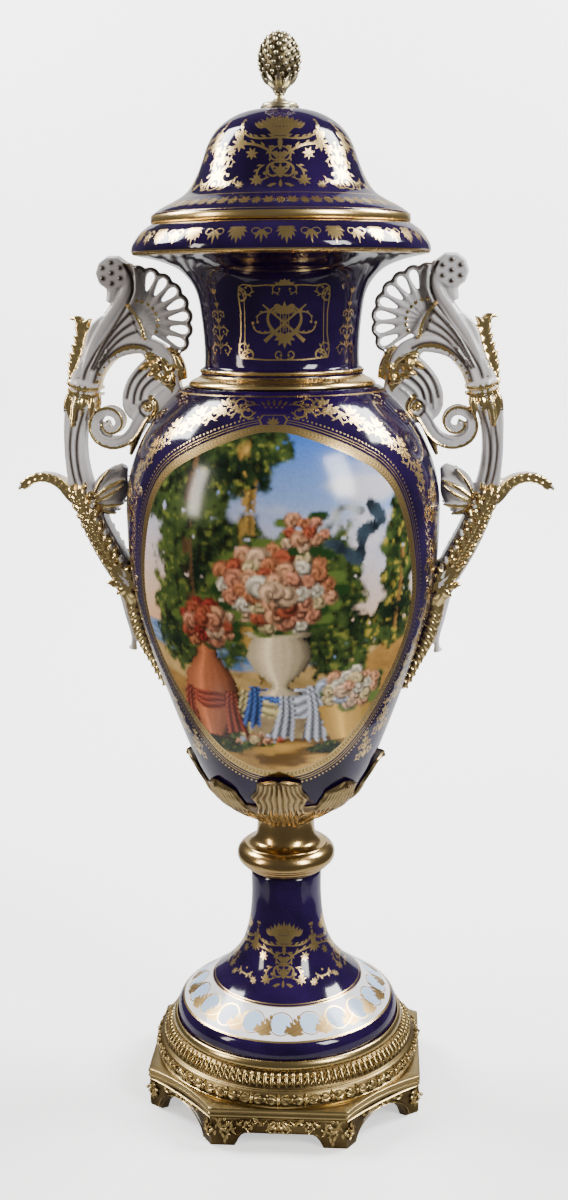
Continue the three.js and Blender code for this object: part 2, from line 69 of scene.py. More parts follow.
def curve_through(points, step):
    """Rows on a smooth line through the points, evenly spaced by about the step."""
    rows = np.array(points, float)
    rows = np.vstack([2 * rows[0] - rows[1], rows, 2 * rows[-1] - rows[-2]])
    gaps = np.linalg.norm(np.diff(rows[:, :2], axis=0), axis=1) ** 0.5
    knots = np.concatenate([[0], np.cumsum(gaps)])
    made = []
    for i in range(1, len(rows) - 2):
        a, b, c, d = rows[i - 1:i + 3]
        ta, tb, tc, td = knots[i - 1:i + 3]
        t = np.linspace(tb, tc, 20, endpoint=False)[:, None]
        ab = ((tb - t) * a + (t - ta) * b) / (tb - ta)
        bc = ((tc - t) * b + (t - tb) * c) / (tc - tb)
        cd = ((td - t) * c + (t - tc) * d) / (td - tc)
        abc = ((tc - t) * ab + (t - ta) * bc) / (tc - ta)
        bcd = ((td - t) * bc + (t - tb) * cd) / (td - tb)
        made.append(((tc - t) * abc + (t - tb) * bcd) / (tc - tb))
    made = np.vstack(made + [rows[-2][None]])
    run = length_along(made)
    count = max(int(math.ceil(run[-1] / step)), 2)
    stops = np.linspace(0, run[-1], count + 1)
    return np.column_stack([np.interp(stops, run, made[:, k]) for k in range(made.shape[1])])


def length_along(rows):
    """The distance run along the rows, from 0 at the first."""
    return np.concatenate([[0], np.cumsum(np.linalg.norm(np.diff(rows[:, :2], axis=0), axis=1))])


def round_spots(x, y, radius, first, last, step):
    """Points on a circle at whole degrees from the first up to the last."""
    turns = [math.radians(degrees) for degrees in range(first, last, step)]
    return [(x + radius * math.cos(turn), y + radius * math.sin(turn)) for turn in turns]


def grid_faces(rows, columns, closed=False):
    """Four-sided faces of a grid whose points are stored row by row."""
    wide = columns if closed else columns - 1
    i, j = np.meshgrid(np.arange(rows - 1), np.arange(wide), indexing="ij")
    k = (j + 1) % columns
    quads = np.stack([i * columns + j, i * columns + k, (i + 1) * columns + k, (i + 1) * columns + j], -1)
    return quads.reshape(-1, 4)


def gather(parts):
    """Joins lists of (points, faces) into one."""
    points = []
    faces = []
    start = 0
    for part_points, part_faces in parts:
        points.append(np.asarray(part_points, float))
        faces.append(np.asarray(part_faces) + start)
        start += len(part_points)
    return np.vstack(points), np.vstack(faces)


def weld(points, faces):
    """Merges points that coincide; a face with a collapsed side becomes a triangle."""
    keys, index = np.unique(np.round(points, 3), axis=0, return_inverse=True)
    kept = []
    for face in index.ravel()[faces]:
        corners = [face[k] for k in range(len(face)) if face[k] != face[k - 1]]
        if len(corners) > 2:
            kept.append(corners)
    return keys, kept


def add_mesh(name, points, faces, finishes, smooth=40.0):
    """A new object whose mesh holds the points, given in millimetres."""
    mesh = bpy.data.meshes.new(name)
    faces = faces.tolist() if isinstance(faces, np.ndarray) else faces
    mesh.from_pydata((np.asarray(points) * MM).tolist(), [], faces)
    mesh.validate()
    mesh.shade_smooth()
    mesh.set_sharp_from_angle(angle=math.radians(smooth))
    for finish in finishes:
        mesh.materials.append(finish)
    made = bpy.data.objects.new(name, mesh)
    bpy.context.collection.objects.link(made)
    return made


def turned(profile, facets):
    """Points and faces of a profile of (radius, height) rows turned round the axis."""
    profile = np.asarray(profile, float)
    angle = np.radians(np.arange(facets) * 360.0 / facets - 90.0)
    points = np.stack([
        profile[:, :1] * np.cos(angle),
        profile[:, :1] * np.sin(angle),
        np.repeat(profile[:, 1:2], facets, axis=1),
    ], -1).reshape(-1, 3)
    return points, grid_faces(len(profile), facets, closed=True)


def feed(tree, end, inputs):
    """Wires or fills the named inputs of a node."""
    for key, value in inputs.items():
        if isinstance(value, bpy.types.NodeSocket):
            tree.links.new(value, end.inputs[key])
        else:
            end.inputs[key].default_value = value


def node(tree, kind, inputs=None, **settings):
    """Adds a node, sets it up and feeds it."""
    made = tree.nodes.new(kind)
    for key, value in settings.items():
        setattr(made, key, value)
    feed(tree, made, inputs or {})
    return made


def effect_group(name, inputs, outputs):
    """An empty shader node group with the named sockets, and its input and output nodes."""
    tree = bpy.data.node_groups.new(name, "ShaderNodeTree")
    kinds = {"value": "NodeSocketFloat", "colour": "NodeSocketColor", "vector": "NodeSocketVector"}
    for socket, kind, value in inputs:
        made = tree.interface.new_socket(socket, in_out="INPUT", socket_type=kinds[kind])
        if value is not None:
            made.default_value = value
    for socket, kind in outputs:
        tree.interface.new_socket(socket, in_out="OUTPUT", socket_type=kinds[kind])
    return tree, tree.nodes.new("NodeGroupInput"), tree.nodes.new("NodeGroupOutput")


def rgba(red, green, blue):
    return (red, green, blue, 1.0)


def build_patina():
    """Old gilding: dark in the recesses and in soft cloudy areas, bright where it is rubbed."""
    tree, given, out = effect_group(
        "rubbed_gilding",
        [
            ("Bright", "colour", rgba(0.8, 0.6, 0.3)),
            ("Deep", "colour", rgba(0.2, 0.1, 0.05)),
            ("Relief", "value", 0.5),
            ("Clouds", "value", 20.0),
            ("Smooth", "value", 0.2),
            ("Dull", "value", 0.5),
        ],
        [("Colour", "colour"), ("Roughness", "value"), ("Height", "value")],
    )
    place = node(tree, "ShaderNodeTexCoord")
    clouds = node(tree, "ShaderNodeTexNoise", {
        "Vector": place.outputs["Object"], "Scale": given.outputs["Clouds"], "Detail": 5.0, "Roughness": 0.6,
    })
    grain = node(tree, "ShaderNodeTexNoise", {
        "Vector": place.outputs["Object"], "Scale": 900.0, "Detail": 3.0,
    })
    lifted = node(tree, "ShaderNodeMath", {0: clouds.outputs["Fac"], 1: -0.5}, operation="ADD")
    worn = node(tree, "ShaderNodeMath", {0: lifted.outputs[0], 1: 0.9, 2: given.outputs["Relief"]},
                operation="MULTIPLY_ADD", use_clamp=True)
    colour = node(tree, "ShaderNodeMix", {
        "Factor": worn.outputs[0], "A": given.outputs["Deep"], "B": given.outputs["Bright"],
    }, data_type="RGBA")
    rough = node(tree, "ShaderNodeMapRange", {
        "Value": worn.outputs[0], "To Min": given.outputs["Dull"], "To Max": given.outputs["Smooth"],
    })
    feed(tree, out, {
        "Colour": colour.outputs["Result"], "Roughness": rough.outputs["Result"],
        "Height": grain.outputs["Fac"],
    })
    return tree


rubbed_gilding = build_patina()


def new_finish(name):
    """An empty material, its tree and its Principled shader."""
    made = bpy.data.materials.new(name)
    made.use_nodes = True
    tree = made.node_tree
    return made, tree, tree.nodes["Principled BSDF"]


def relief_socket(tree):
    """The height of the carving at a point, from 0 in a recess to 1 on a high part."""
    return node(tree, "ShaderNodeAttribute", attribute_name="relief").outputs["Fac"]


def bronze_finish(name, bright, deep, clouds, smooth, dull, carved=True):
    """Gilded metal whose colour follows the carving's height."""
    made, tree, shader = new_finish(name)
    worn = node(tree, "ShaderNodeGroup", {
        "Bright": rgba(*bright), "Deep": rgba(*deep), "Clouds": clouds, "Smooth": smooth, "Dull": dull,
        "Relief": relief_socket(tree) if carved else 0.75,
    }, node_tree=rubbed_gilding)
    bump = node(tree, "ShaderNodeBump", {"Height": worn.outputs["Height"], "Strength": 0.08,
                                         "Distance": 0.0004})
    feed(tree, shader, {
        "Base Color": worn.outputs["Colour"], "Roughness": worn.outputs["Roughness"], "Metallic": 1.0,
        "Normal": bump.outputs["Normal"],
    })
    return made


cast_bronze = bronze_finish("cast_bronze", (0.50, 0.37, 0.16), (0.045, 0.026, 0.010), 14.0, 0.22, 0.42)
turned_bronze = bronze_finish("turned_bronze", (0.62, 0.43, 0.18), (0.26, 0.15, 0.055), 9.0, 0.16, 0.32,
                              carved=False)


def set_relief(made, values):
    """Stores the carving's height at each point for the finish to read."""
    layer = made.data.attributes.new("relief", "FLOAT", "POINT")
    layer.data.foreach_set("value", np.clip(np.asarray(values, np.float32), 0, 1))


def scroll_path(x, y, heading, length, curl, tighten=0.0, steps=16):
    """A line from x, y whose heading in degrees turns by curl, and more and more by tighten."""
    share = (np.arange(steps) + 0.5) / steps
    turn = np.radians(heading + curl * share + tighten * share ** 2)
    stride = length / steps
    xs = np.concatenate([[0], np.cumsum(np.cos(turn))]) * stride + x
    ys = np.concatenate([[0], np.cumsum(np.sin(turn))]) * stride + y
    return np.column_stack([xs, ys])


def sideways(path):
    """Unit vectors to the left of a path at each of its points."""
    along = np.gradient(path, axis=0)
    along /= np.maximum(np.linalg.norm(along, axis=1), 1e-9)[:, None]
    return np.column_stack([-along[:, 1], along[:, 0]])


def raised_strip(path, widths, rise, across=4):
    """A half-round strip along a path in a plane, as points of (x, y, height) and faces."""
    widths = np.interp(np.linspace(0, 1, len(path)), np.linspace(0, 1, len(widths)), widths)
    left = sideways(path)
    arc = np.linspace(-1, 1, across + 1)
    flat = path[:, None] + left[:, None] * (arc[None, :, None] * widths[:, None, None])
    height = np.repeat(np.sqrt(np.maximum(1 - arc ** 2, 0))[None], len(path), 0)
    height = height * rise * np.minimum(widths / max(widths.max(), 1e-6) * 1.3, 1)[:, None] - 0.3
    points = np.dstack([flat, height]).reshape(-1, 3)
    return points, grid_faces(len(path), across + 1)[:, ::-1]


def blade(x, y, heading, length, width, rise, bend=0.0, rib=0.45, steps=7):
    """A raised pointed leaf from its foot at x, y, with a sunk midrib and a rolled edge."""
    path = scroll_path(x, y, heading, length, bend, steps=steps)
    share = np.linspace(0, 1, steps + 1)
    widths = width * 0.5 * np.sin(np.pi * np.clip(share ** 0.75, 0.02, 0.985)) ** 0.8
    left = sideways(path)
    arc = np.array([-1, -0.62, 0, 0.62, 1])
    lift = np.array([-0.25, 1, 1 - rib, 1, -0.25])
    flat = path[:, None] + left[:, None] * (arc[None, :, None] * widths[:, None, None])
    swell = np.sin(np.pi * np.clip(share, 0.06, 0.9)) ** 0.5
    height = lift[None] * rise * swell[:, None]
    return np.dstack([flat, height]).reshape(-1, 3), grid_faces(steps + 1, 5)[:, ::-1]


def bead(x, y, radius, rise, sides=8):
    """A small dome."""
    rings = np.array([(1, -0.15), (0.88, 0.5), (0.5, 0.88), (0.02, 1)])
    angle = np.arange(sides) * 2 * np.pi / sides
    points = np.stack([
        x + radius * rings[:, :1] * np.cos(angle),
        y + radius * rings[:, :1] * np.sin(angle),
        np.repeat(rings[:, 1:] * rise, sides, axis=1),
    ], -1).reshape(-1, 3)
    return points, grid_faces(4, sides, closed=True)


def flipped(parts):
    """The mirror image of relief parts across the line x = 0."""
    return [(points * np.array([-1, 1, 1]), faces[:, ::-1]) for points, faces in parts]


def start_of_copies(name, more):
    """A geometry node tree for copies of a motif, with its inputs and a row of points to place."""
    tree = bpy.data.node_groups.new(name, "GeometryNodeTree")
    sockets = {}
    for socket, kind in ({"Motif": "Object", "Count": "Int", "Finish": "Material"} | more).items():
        made = tree.interface.new_socket(socket, in_out="INPUT", socket_type="NodeSocket" + kind)
        sockets[socket] = made.identifier
    tree.interface.new_socket("Geometry", in_out="OUTPUT", socket_type="NodeSocketGeometry")
    given = tree.nodes.new("NodeGroupInput").outputs
    row = node(tree, "GeometryNodeMeshLine", {"Count": given["Count"], "Offset": (0.0, 0.0, 0.0)},
               mode="OFFSET")
    number = node(tree, "GeometryNodeInputIndex")
    return tree, sockets, given, row.outputs["Mesh"], number.outputs[0]


def end_of_copies(tree, given, placing):
    """Ends the tree with the motif on every point, made real and given its finish."""
    motif = node(tree, "GeometryNodeObjectInfo", {"Object": given["Motif"]})
    copies = node(tree, "GeometryNodeInstanceOnPoints", {"Instance": motif.outputs["Geometry"]} | placing)
    real = node(tree, "GeometryNodeRealizeInstances", {"Geometry": copies.outputs["Instances"]})
    coated = node(tree, "GeometryNodeSetMaterial", {
        "Geometry": real.outputs["Geometry"], "Material": given["Finish"],
    })
    feed(tree, tree.nodes.new("NodeGroupOutput"), {"Geometry": coated.outputs["Geometry"]})


def sum_in(tree, kind, *values):
    """The result of one sum with up to three values in a node tree."""
    return node(tree, "ShaderNodeMath", dict(enumerate(values)), operation=kind).outputs[0]


def build_round_tree():
    """Geometry nodes that repeat a motif round the axis."""
    tree, sockets, given, row, number = start_of_copies("motif_round_axis", {})
    share = sum_in(tree, "DIVIDE", number, given["Count"])
    turn = node(tree, "ShaderNodeCombineXYZ", {"Z": sum_in(tree, "MULTIPLY", share, 2 * math.pi)})
    end_of_copies(tree, given, {"Points": row, "Rotation": turn.outputs[0]})
    return tree, sockets


round_tree = build_round_tree()


def grown_by_tree(name, grower, inputs):
    """An object whose mesh is what a geometry node tree makes of its inputs; the motif is dropped."""
    tree, sockets = grower
    made = bpy.data.objects.new(name, bpy.data.meshes.new(name))
    bpy.context.collection.objects.link(made)
    modifier = made.modifiers.new("tree", "NODES")
    modifier.node_group = tree
    for socket, value in inputs.items():
        modifier[sockets[socket]] = value
    made.update_tag()
    seen = made.evaluated_get(bpy.context.evaluated_depsgraph_get())
    mesh = bpy.data.meshes.new_from_object(seen)
    made.modifiers.clear()
    made.data = mesh
    mesh.name = name
    mesh.shade_smooth()
    bpy.data.objects.remove(inputs["Motif"])
    return made


def round_axis(name, motif, count, finish):
    """Repeats a motif object round the axis."""
    return grown_by_tree(name, round_tree, {"Motif": motif, "Count": count, "Finish": finish})


def on_turned(profile, start, parts):
    """Lays relief parts of (mm round, mm up the profile, height) on a turned surface, at the front."""
    profile = np.asarray(profile, float)
    run = length_along(profile)
    along = np.gradient(profile, axis=0)
    along /= np.linalg.norm(along, axis=1)[:, None]
    points, faces = gather(parts)
    up = points[:, 1] + start
    radius = np.interp(up, run, profile[:, 0])
    level = np.interp(up, run, profile[:, 1])
    out_r = np.interp(up, run, along[:, 1])
    out_z = np.interp(up, run, -along[:, 0])
    angle = points[:, 0] / radius - math.pi / 2
    reach = radius + out_r * points[:, 2]
    placed = np.column_stack([
        reach * np.cos(angle), reach * np.sin(angle), level + out_z * points[:, 2],
    ])
    return placed, faces


def relief_of(parts, rise):
    """Heights of relief parts as shares of their full rise."""
    return np.concatenate([part[0][:, 2] for part in parts]) / rise


def ring_of_relief(name, placed, parts, count, finish, low, share, rise):
    """Relief repeated round the axis: its points and faces once placed, and the parts it came from."""
    motif = add_mesh(name + "_motif", *placed, [finish], smooth=60)
    set_relief(motif, low + share * relief_of(parts, rise))
    return round_axis(name, motif, count, finish)


def plinth_ring(inset, level, per_face=40, per_corner=28):
    """Points round the plinth at an inset from its outline, face by face from the front."""
    side = PLINTH_HALF - inset
    face = FACE_HALF - inset * math.tan(math.pi / 8)
    bend = (side + face) / 2 - CORNER_HOLLOW * math.sqrt(2)
    flat = np.linspace(-face, face, per_face, endpoint=False)
    straight = np.column_stack([flat, np.full(per_face, -side)])
    t = np.linspace(0, 1, per_corner, endpoint=False)[:, None]
    start = np.array([face, -side])
    middle = np.array([bend, -bend])
    end = np.array([side, -face])
    curved = (1 - t) ** 2 * start + 2 * t * (1 - t) * middle + t ** 2 * end
    quarter = np.vstack([straight, curved])
    rows = []
    for turn in range(4):
        angle = turn * math.pi / 2
        spin = np.array([[math.cos(angle), math.sin(angle)], [-math.sin(angle), math.cos(angle)]])
        rows.append(quarter @ spin)
    flat = np.vstack(rows)
    return np.column_stack([flat, np.full(len(flat), level)])


def apron_edge(per_face=40, per_corner=28):
    """Height of the apron's lower edge at each point round the plinth."""
    flat = np.abs(np.linspace(-FACE_HALF, FACE_HALF, per_face, endpoint=False))
    share = np.clip((FOOT_TOE - flat) / (FOOT_TOE - FOOT_INNER), 0, 1)
    under_face = APRON_CLEAR * np.sin(share * math.pi / 2) ** 0.8
    span = np.linspace(-60, 60, per_corner, endpoint=False)
    under_corner = ARCH_RISE * np.sqrt(np.maximum(1 - (span / ARCH_HALF) ** 2, 0))
    return np.tile(np.concatenate([under_face, under_corner]), 4)


def build_plinth():
    """The plinth's moulded slab and its apron with feet, as one closed wall."""
    edge = apron_edge()
    rows = []
    for share in np.linspace(0, 1, 9):
        ring = plinth_ring(APRON_SETBACK, 0.0)
        ring[:, 2] = edge + (SLAB_BOTTOM - 1.0 - edge) * share
        rows.append(ring)
    slab = [
        (2.0, 37.4), (0.4, 38.3), (0.0, 39.4), (0.0, 40.7), (0.6, 41.6), (1.6, 42.2), (1.8, 43.2),
        (0.8, 44.0), (0.0, 44.9), (0.0, 47.6), (0.5, 48.5), (1.4, SLAB_TOP), (24.0, SLAB_TOP),
        (24.0, SLAB_TOP - BRONZE_WALL), (APRON_SETBACK + BRONZE_WALL, SLAB_TOP - BRONZE_WALL),
    ]
    rows += [plinth_ring(inset, level) for inset, level in slab]
    for share in np.linspace(1, 0, 5):
        ring = plinth_ring(APRON_SETBACK + BRONZE_WALL, 0.0)
        ring[:, 2] = edge + (SLAB_TOP - BRONZE_WALL - 2 - edge) * share
        rows.append(ring)
    rows.append(rows[0])
    points = np.vstack(rows)
    return points, grid_faces(len(rows), len(rows[0]), closed=True)


ring_profile = np.vstack([
    [(140, 44), (164.6, 48.6), (165.2, 50.0), (165.2, 51.4), (163.6, 52.4)],
    curve_through([(162.4, 53.2), (163.9, 57.5), (163.0, 62.5), (160.2, 66.8), (158.4, 68.0)], 1.6),
    [(158.4, 69.0), (157.2, 69.6)],
    curve_through([(156.4, 70.2), (155.4, 72.4), (153.4, 76.2), (150.2, 80.2), (146.4, 83.4), (143.8, 84.8)],
                  1.8),
    [(143.4, 85.2), (143.4, 86.0)],
    curve_through([(144.0, 86.4), (145.0, 88.8), (144.7, 91.6), (143.4, 94.4), (141.6, 96.2), (140.0, 96.6),
                   (138.8, 95.8), (138.4, 94.2), (138.3, 87.9)], 1.1),
    [(125.0, 87.9), (125.0, 80.0), (140, 44)],
])
plinth_points, plinth_faces = weld(*build_plinth())
plinth = add_mesh("base_plinth", plinth_points, plinth_faces, [cast_bronze], smooth=34)
set_relief(plinth, np.where(plinth_points[:, 2] < SLAB_BOTTOM - 1.5, 0.12, 0.62))
ring_points, ring_faces = weld(*turned(ring_profile, 192))
base_ring = add_mesh("base_ring", ring_points, ring_faces, [cast_bronze], smooth=50)
ring_reach = np.hypot(ring_points[:, 0], ring_points[:, 1])
set_relief(base_ring, np.select([ring_points[:, 2] > 85.7, ring_reach > 164.2, ring_reach < 157.3],
                                [0.95, 0.8, 0.12], 0.3))


def leafy_relief(path, width, leaf, count, rise):
    """A raised scroll with plump leaves on both sides and a bead in its eye."""
    parts = [raised_strip(path, [width * 0.5, width, width * 0.8, width * 0.5], rise)]
    along = np.gradient(path, axis=0)
    for k in range(count):
        i = int((k + 0.5) / count * (len(path) - 4))
        heading = math.degrees(math.atan2(along[i, 1], along[i, 0]))
        for side in (-1, 1):
            parts.append(blade(path[i, 0], path[i, 1], heading + 48 * side, leaf * (1 - 0.3 * k / count),
                               leaf * 0.46, rise * 0.9, bend=-36 * side))
    return parts + [bead(path[-1, 0], path[-1, 1], width * 1.6, rise * 1.2)]


def build_apron_relief():
    """Dense foliage on a face of the apron and on its feet, inside plain raised borders."""
    half = []
    half += leafy_relief(scroll_path(2, 32, -12, 34, -40, -300, 22), 1.6, 7.5, 5, 1.9)
    half += leafy_relief(scroll_path(18, 27, 40, 30, -60, 330, 18), 1.5, 7.0, 4, 1.9)
    half += leafy_relief(scroll_path(34, 33, -20, 24, -60, -240, 18), 1.4, 6.5, 3, 1.9)
    half += leafy_relief(scroll_path(54, 33, -60, 34, 50, 240, 20), 1.7, 9.0, 4, 1.9)
    half += leafy_relief(scroll_path(73, 32, -100, 36, -40, -220, 20), 1.7, 9.0, 4, 1.9)
    for x, y, heading, length in ((8, 27, -60, 7), (26, 33, 60, 7), (30, 27, -50, 8), (43, 27, 20, 9),
                                  (60, 16, -70, 12),
                                  (68, 18, -110, 12), (64, 10, -90, 9), (56, 22, -120, 9), (74, 20, -60, 9)):
        half.append(blade(x, y, heading, length, 5.0, 1.9, bend=-20))
    for k in range(10):
        x = 5 + 4.6 * k
        half.append(blade(x, 26.5 if k % 2 else 34, 50 if k % 2 else -50, 7.5, 3.8, 1.8, bend=30))
    half.append(bead(64, 21, 2.8, 2.3))
    half.append(raised_strip(np.array([(80.3, 36.6), (80.3, 24), (80.3, 12), (80.3, 1)]), [1.5, 1.5], 1.6,
                             across=2))
    half.append(raised_strip(np.array([(0, 36.2), (30, 36.2), (56, 36.2), (81, 36.2)]), [0.9, 0.9], 1.5,
                             across=2))
    flat = np.linspace(0, FOOT_TOE + 1, 26)
    lower = np.interp(flat, np.linspace(0, FACE_HALF, 20), apron_edge()[20:40]) + 1.0
    half.append(raised_strip(np.column_stack([flat, lower]), [0.9, 0.9], 1.5, across=2))
    middle = [bead(0, 30, 3.0, 2.4)]
    for turn in (-50, -25, 0, 25, 50):
        middle.append(blade(0, 29, -90 + turn, 9, 4.0, 2.2))
    return half + flipped(half) + middle


def on_face(parts):
    """Lays relief parts on the front face of the apron."""
    points, faces = gather(parts)
    flat = np.clip(points[:, 0], -APRON_REACH, APRON_REACH)
    wall = apron_edge()[:40]
    lower = np.interp(flat, np.linspace(-FACE_HALF, FACE_HALF, 40, endpoint=False), wall) + 0.6
    level = np.clip(points[:, 1], lower, SLAB_BOTTOM - 0.8)
    return np.column_stack([flat, APRON_SETBACK - PLINTH_HALF - points[:, 2], level]), faces


apron_parts = build_apron_relief()
apron_relief = ring_of_relief(
    "base_apron_relief", on_face(apron_parts), apron_parts, 4, cast_bronze, 0.1, 0.9, 1.9)

corner_half = []
arch_turn = np.radians(np.arange(90, 2, -4))
arch_line = np.column_stack([(ARCH_HALF + 3.4) * np.cos(arch_turn),
                             (ARCH_RISE + 2.6) * np.sin(arch_turn) + 2.0])
corner_half.append(raised_strip(arch_line, [1.0, 1.0], 1.6, across=2))
corner_half.append(raised_strip(np.array([(0, 38.2), (30, 38.2), (60, 38.2)]), [0.9, 0.9], 1.4, across=2))
corner_half += leafy_relief(scroll_path(56, 34, -140, 30, 30, 200, 18), 1.4, 7.0, 4, 2.0)
corner_half += leafy_relief(scroll_path(54, 12, 96, 24, 30, -200, 18), 1.4, 6.5, 3, 2.0)
corner_half += [blade(26, 34, 170, 14, 4.6, 1.8), blade(14, 35, 180, 12, 4.0, 1.6),
                blade(34, 35, 200, 10, 4.6, 1.8)]
corner_parts = corner_half + flipped(corner_half) + [bead(0, 34.6, 2.4, 2.4)]
corner_points, corner_faces = gather(corner_parts)
corner_bow = 3.6 * (1 - (corner_points[:, 0] / 60) ** 2) - 0.4
corner_depth = CORNER_REACH - APRON_SETBACK - corner_bow + corner_points[:, 2]
lean = math.radians(-45)
corner_points = np.column_stack([
    corner_points[:, 0] * math.cos(lean + math.pi / 2) + corner_depth * math.cos(lean),
    corner_points[:, 0] * math.sin(lean + math.pi / 2) + corner_depth * math.sin(lean),
    corner_points[:, 1] - 2.0,
])
corner_relief = ring_of_relief(
    "base_corner_relief", (corner_points, corner_faces), corner_parts, 4, cast_bronze, 0.25, 0.85, 2.0)

ring_run = length_along(ring_profile)


def ring_level(level):
    """Distance up the ring's profile at a height on its outside."""
    outside = slice(1, int(np.argmax(ring_profile[:, 1])) + 1)
    return float(np.interp(level, ring_profile[outside, 1], ring_run[outside]))


tongue_parts = [
    raised_strip(np.array([(0, 0.6), (0, 4), (0, 9), (0, 14), (0, 18.4), (0, 19.4)]),
                 [1.2, 2.3, 3.0, 3.1, 2.2, 0.6], 2.0),
    blade(-2.4, 3.0, 108, 8, 3.0, 1.9, bend=40),
    blade(2.4, 3.0, 72, 8, 3.0, 1.9, bend=-40),
    blade(-2.2, 9.0, 104, 9, 3.0, 2.1, bend=50),
    blade(2.2, 9.0, 76, 9, 3.0, 2.1, bend=-50),
    raised_strip(np.array([(4.3, 1), (4.3, 8), (4.3, 16)]), [1.1, 0.8, 0.4], 1.8, across=2),
]
tongues = ring_of_relief(
    "base_tongues", on_turned(ring_profile, ring_level(70.2), tongue_parts), tongue_parts, TONGUES,
    cast_bronze, 0.1, 0.9, 2.0)

husk_parts = [
    blade(-3.0, 7.4, 180, 12.5, 7.6, 3.2), blade(3.0, 7.4, 0, 12.5, 7.6, 3.2),
    blade(-2.0, 7.4, 140, 12, 6.2, 2.8, bend=40), blade(2.0, 7.4, 40, 12, 6.2, 2.8, bend=-40),
    blade(-2.0, 7.4, 220, 12, 6.2, 2.8, bend=-40), blade(2.0, 7.4, -40, 12, 6.2, 2.8, bend=40),
    blade(0, 7.4, 90, 7.4, 5.2, 2.6), blade(0, 7.4, -90, 7.2, 5.2, 2.6),
    bead(0, 7.4, 3.0, 3.8), bead(-13.4, 11.2, 1.7, 2.2), bead(-13.4, 3.8, 1.7, 2.2),
    bead(-15.9, 7.4, 2.0, 2.6),
]
husks = ring_of_relief(
    "base_husks", on_turned(ring_profile, ring_level(53.2), husk_parts), husk_parts, HUSKS, cast_bronze,
    0.1, 0.9, 3.0)

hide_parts("bronze_base")
for carved in (plinth, base_ring, apron_relief, corner_relief, tongues, husks):
    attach(carved, "root")

# Pedestal
# A hollow porcelain foot that sweeps up from a broad band to a slim stem. It is glazed cobalt,
# with a white and pale blue band, gilt lines and fired gilt scrollwork, and stands on the ring.

PEDESTAL_BOTTOM = RING_TOP + CLEARANCE
PEDESTAL_RISE = 196.0
PEDESTAL_TOP = PEDESTAL_BOTTOM + PEDESTAL_RISE
PEDESTAL_RADIUS = 138.0
PEDESTAL_STEM = 43.5
PEDESTAL_WALL = 8.0
PEDESTAL_EDGE = 25.0
BAND_OVALS = 20


def build_glaze():
    """Fired glaze: faint waviness of the surface, cloudy depth of colour and a little dulling."""
    tree, given, out = effect_group(
        "fired_glaze",
        [("Thin", "colour", rgba(0.03, 0.02, 0.1)), ("Full", "colour", rgba(0.01, 0.005, 0.05)),
         ("Smooth", "value", 0.05), ("Dull", "value", 0.12)],
        [("Colour", "colour"), ("Roughness", "value"), ("Height", "value")],
    )
    place = node(tree, "ShaderNodeTexCoord")
    clouds = node(tree, "ShaderNodeTexNoise",
                  {"Vector": place.outputs["Object"], "Scale": 16.0, "Detail": 4.0})
    waves = node(tree, "ShaderNodeTexNoise",
                 {"Vector": place.outputs["Object"], "Scale": 55.0, "Detail": 1.0})
    spread = node(tree, "ShaderNodeMapRange", {
        "Value": clouds.outputs["Fac"], "From Min": 0.35, "From Max": 0.7,
    })
    colour = node(tree, "ShaderNodeMix", {
        "Factor": spread.outputs["Result"], "A": given.outputs["Thin"], "B": given.outputs["Full"],
    }, data_type="RGBA")
    rough = node(tree, "ShaderNodeMapRange", {
        "Value": clouds.outputs["Fac"], "To Min": given.outputs["Smooth"], "To Max": given.outputs["Dull"],
    })
    feed(tree, out, {
        "Colour": colour.outputs["Result"], "Roughness": rough.outputs["Result"],
        "Height": waves.outputs["Fac"],
    })
    return tree


fired_glaze = build_glaze()


def glaze_finish(name, thin, full, smooth, dull):
    """Glazed porcelain in a colour that runs from thin to full."""
    made, tree, shader = new_finish(name)
    glaze = node(tree, "ShaderNodeGroup", {
        "Thin": rgba(*thin), "Full": rgba(*full), "Smooth": smooth, "Dull": dull,
    }, node_tree=fired_glaze)
    bump = node(tree, "ShaderNodeBump", {"Height": glaze.outputs["Height"], "Strength": 0.06,
                                         "Distance": 0.001})
    feed(tree, shader, {
        "Base Color": glaze.outputs["Colour"], "Roughness": glaze.outputs["Roughness"],
        "Specular IOR Level": 0.5, "Normal": bump.outputs["Normal"],
    })
    return made


cobalt_glaze = glaze_finish("cobalt_glaze", (0.013, 0.004, 0.042), (0.004, 0.001, 0.014), 0.05, 0.12)
white_glaze = glaze_finish("white_glaze", (0.72, 0.70, 0.72), (0.62, 0.60, 0.64), 0.12, 0.2)
blue_glaze = glaze_finish("pale_blue_glaze", (0.42, 0.55, 0.74), (0.33, 0.46, 0.68), 0.12, 0.2)
fired_gilt = bronze_finish("fired_gilt", (0.84, 0.62, 0.27), (0.46, 0.28, 0.09), 30.0, 0.2, 0.4, carved=False)
brown_gilt = bronze_finish("brown_gilt", (0.50, 0.33, 0.13), (0.26, 0.15, 0.05), 40.0, 0.3, 0.5, carved=False)
PORCELAIN = [cobalt_glaze, fired_gilt, brown_gilt, white_glaze, blue_glaze]
COBALT, GILT, BROWN, WHITE, BLUE, PAINTED = range(6)


def stroke(path, widths):
    """The outline of a brush line of changing half width."""
    widths = np.interp(np.linspace(0, 1, len(path)), np.linspace(0, 1, len(widths)), widths)[:, None]
    left = sideways(path) * widths
    return np.vstack([path - left, (path + left)[::-1]])


def petal(x, y, heading, length, width, bend=0.0, steps=5):
    """The outline of a pointed leaf from its foot at x, y."""
    path = scroll_path(x, y, heading, length, bend, steps=steps)
    share = np.linspace(0, 1, steps + 1)
    left = sideways(path) * (width * 0.5 * np.sin(np.pi * share ** 0.8))[:, None]
    return np.vstack([path - left, (path + left)[::-1][1:-1]])


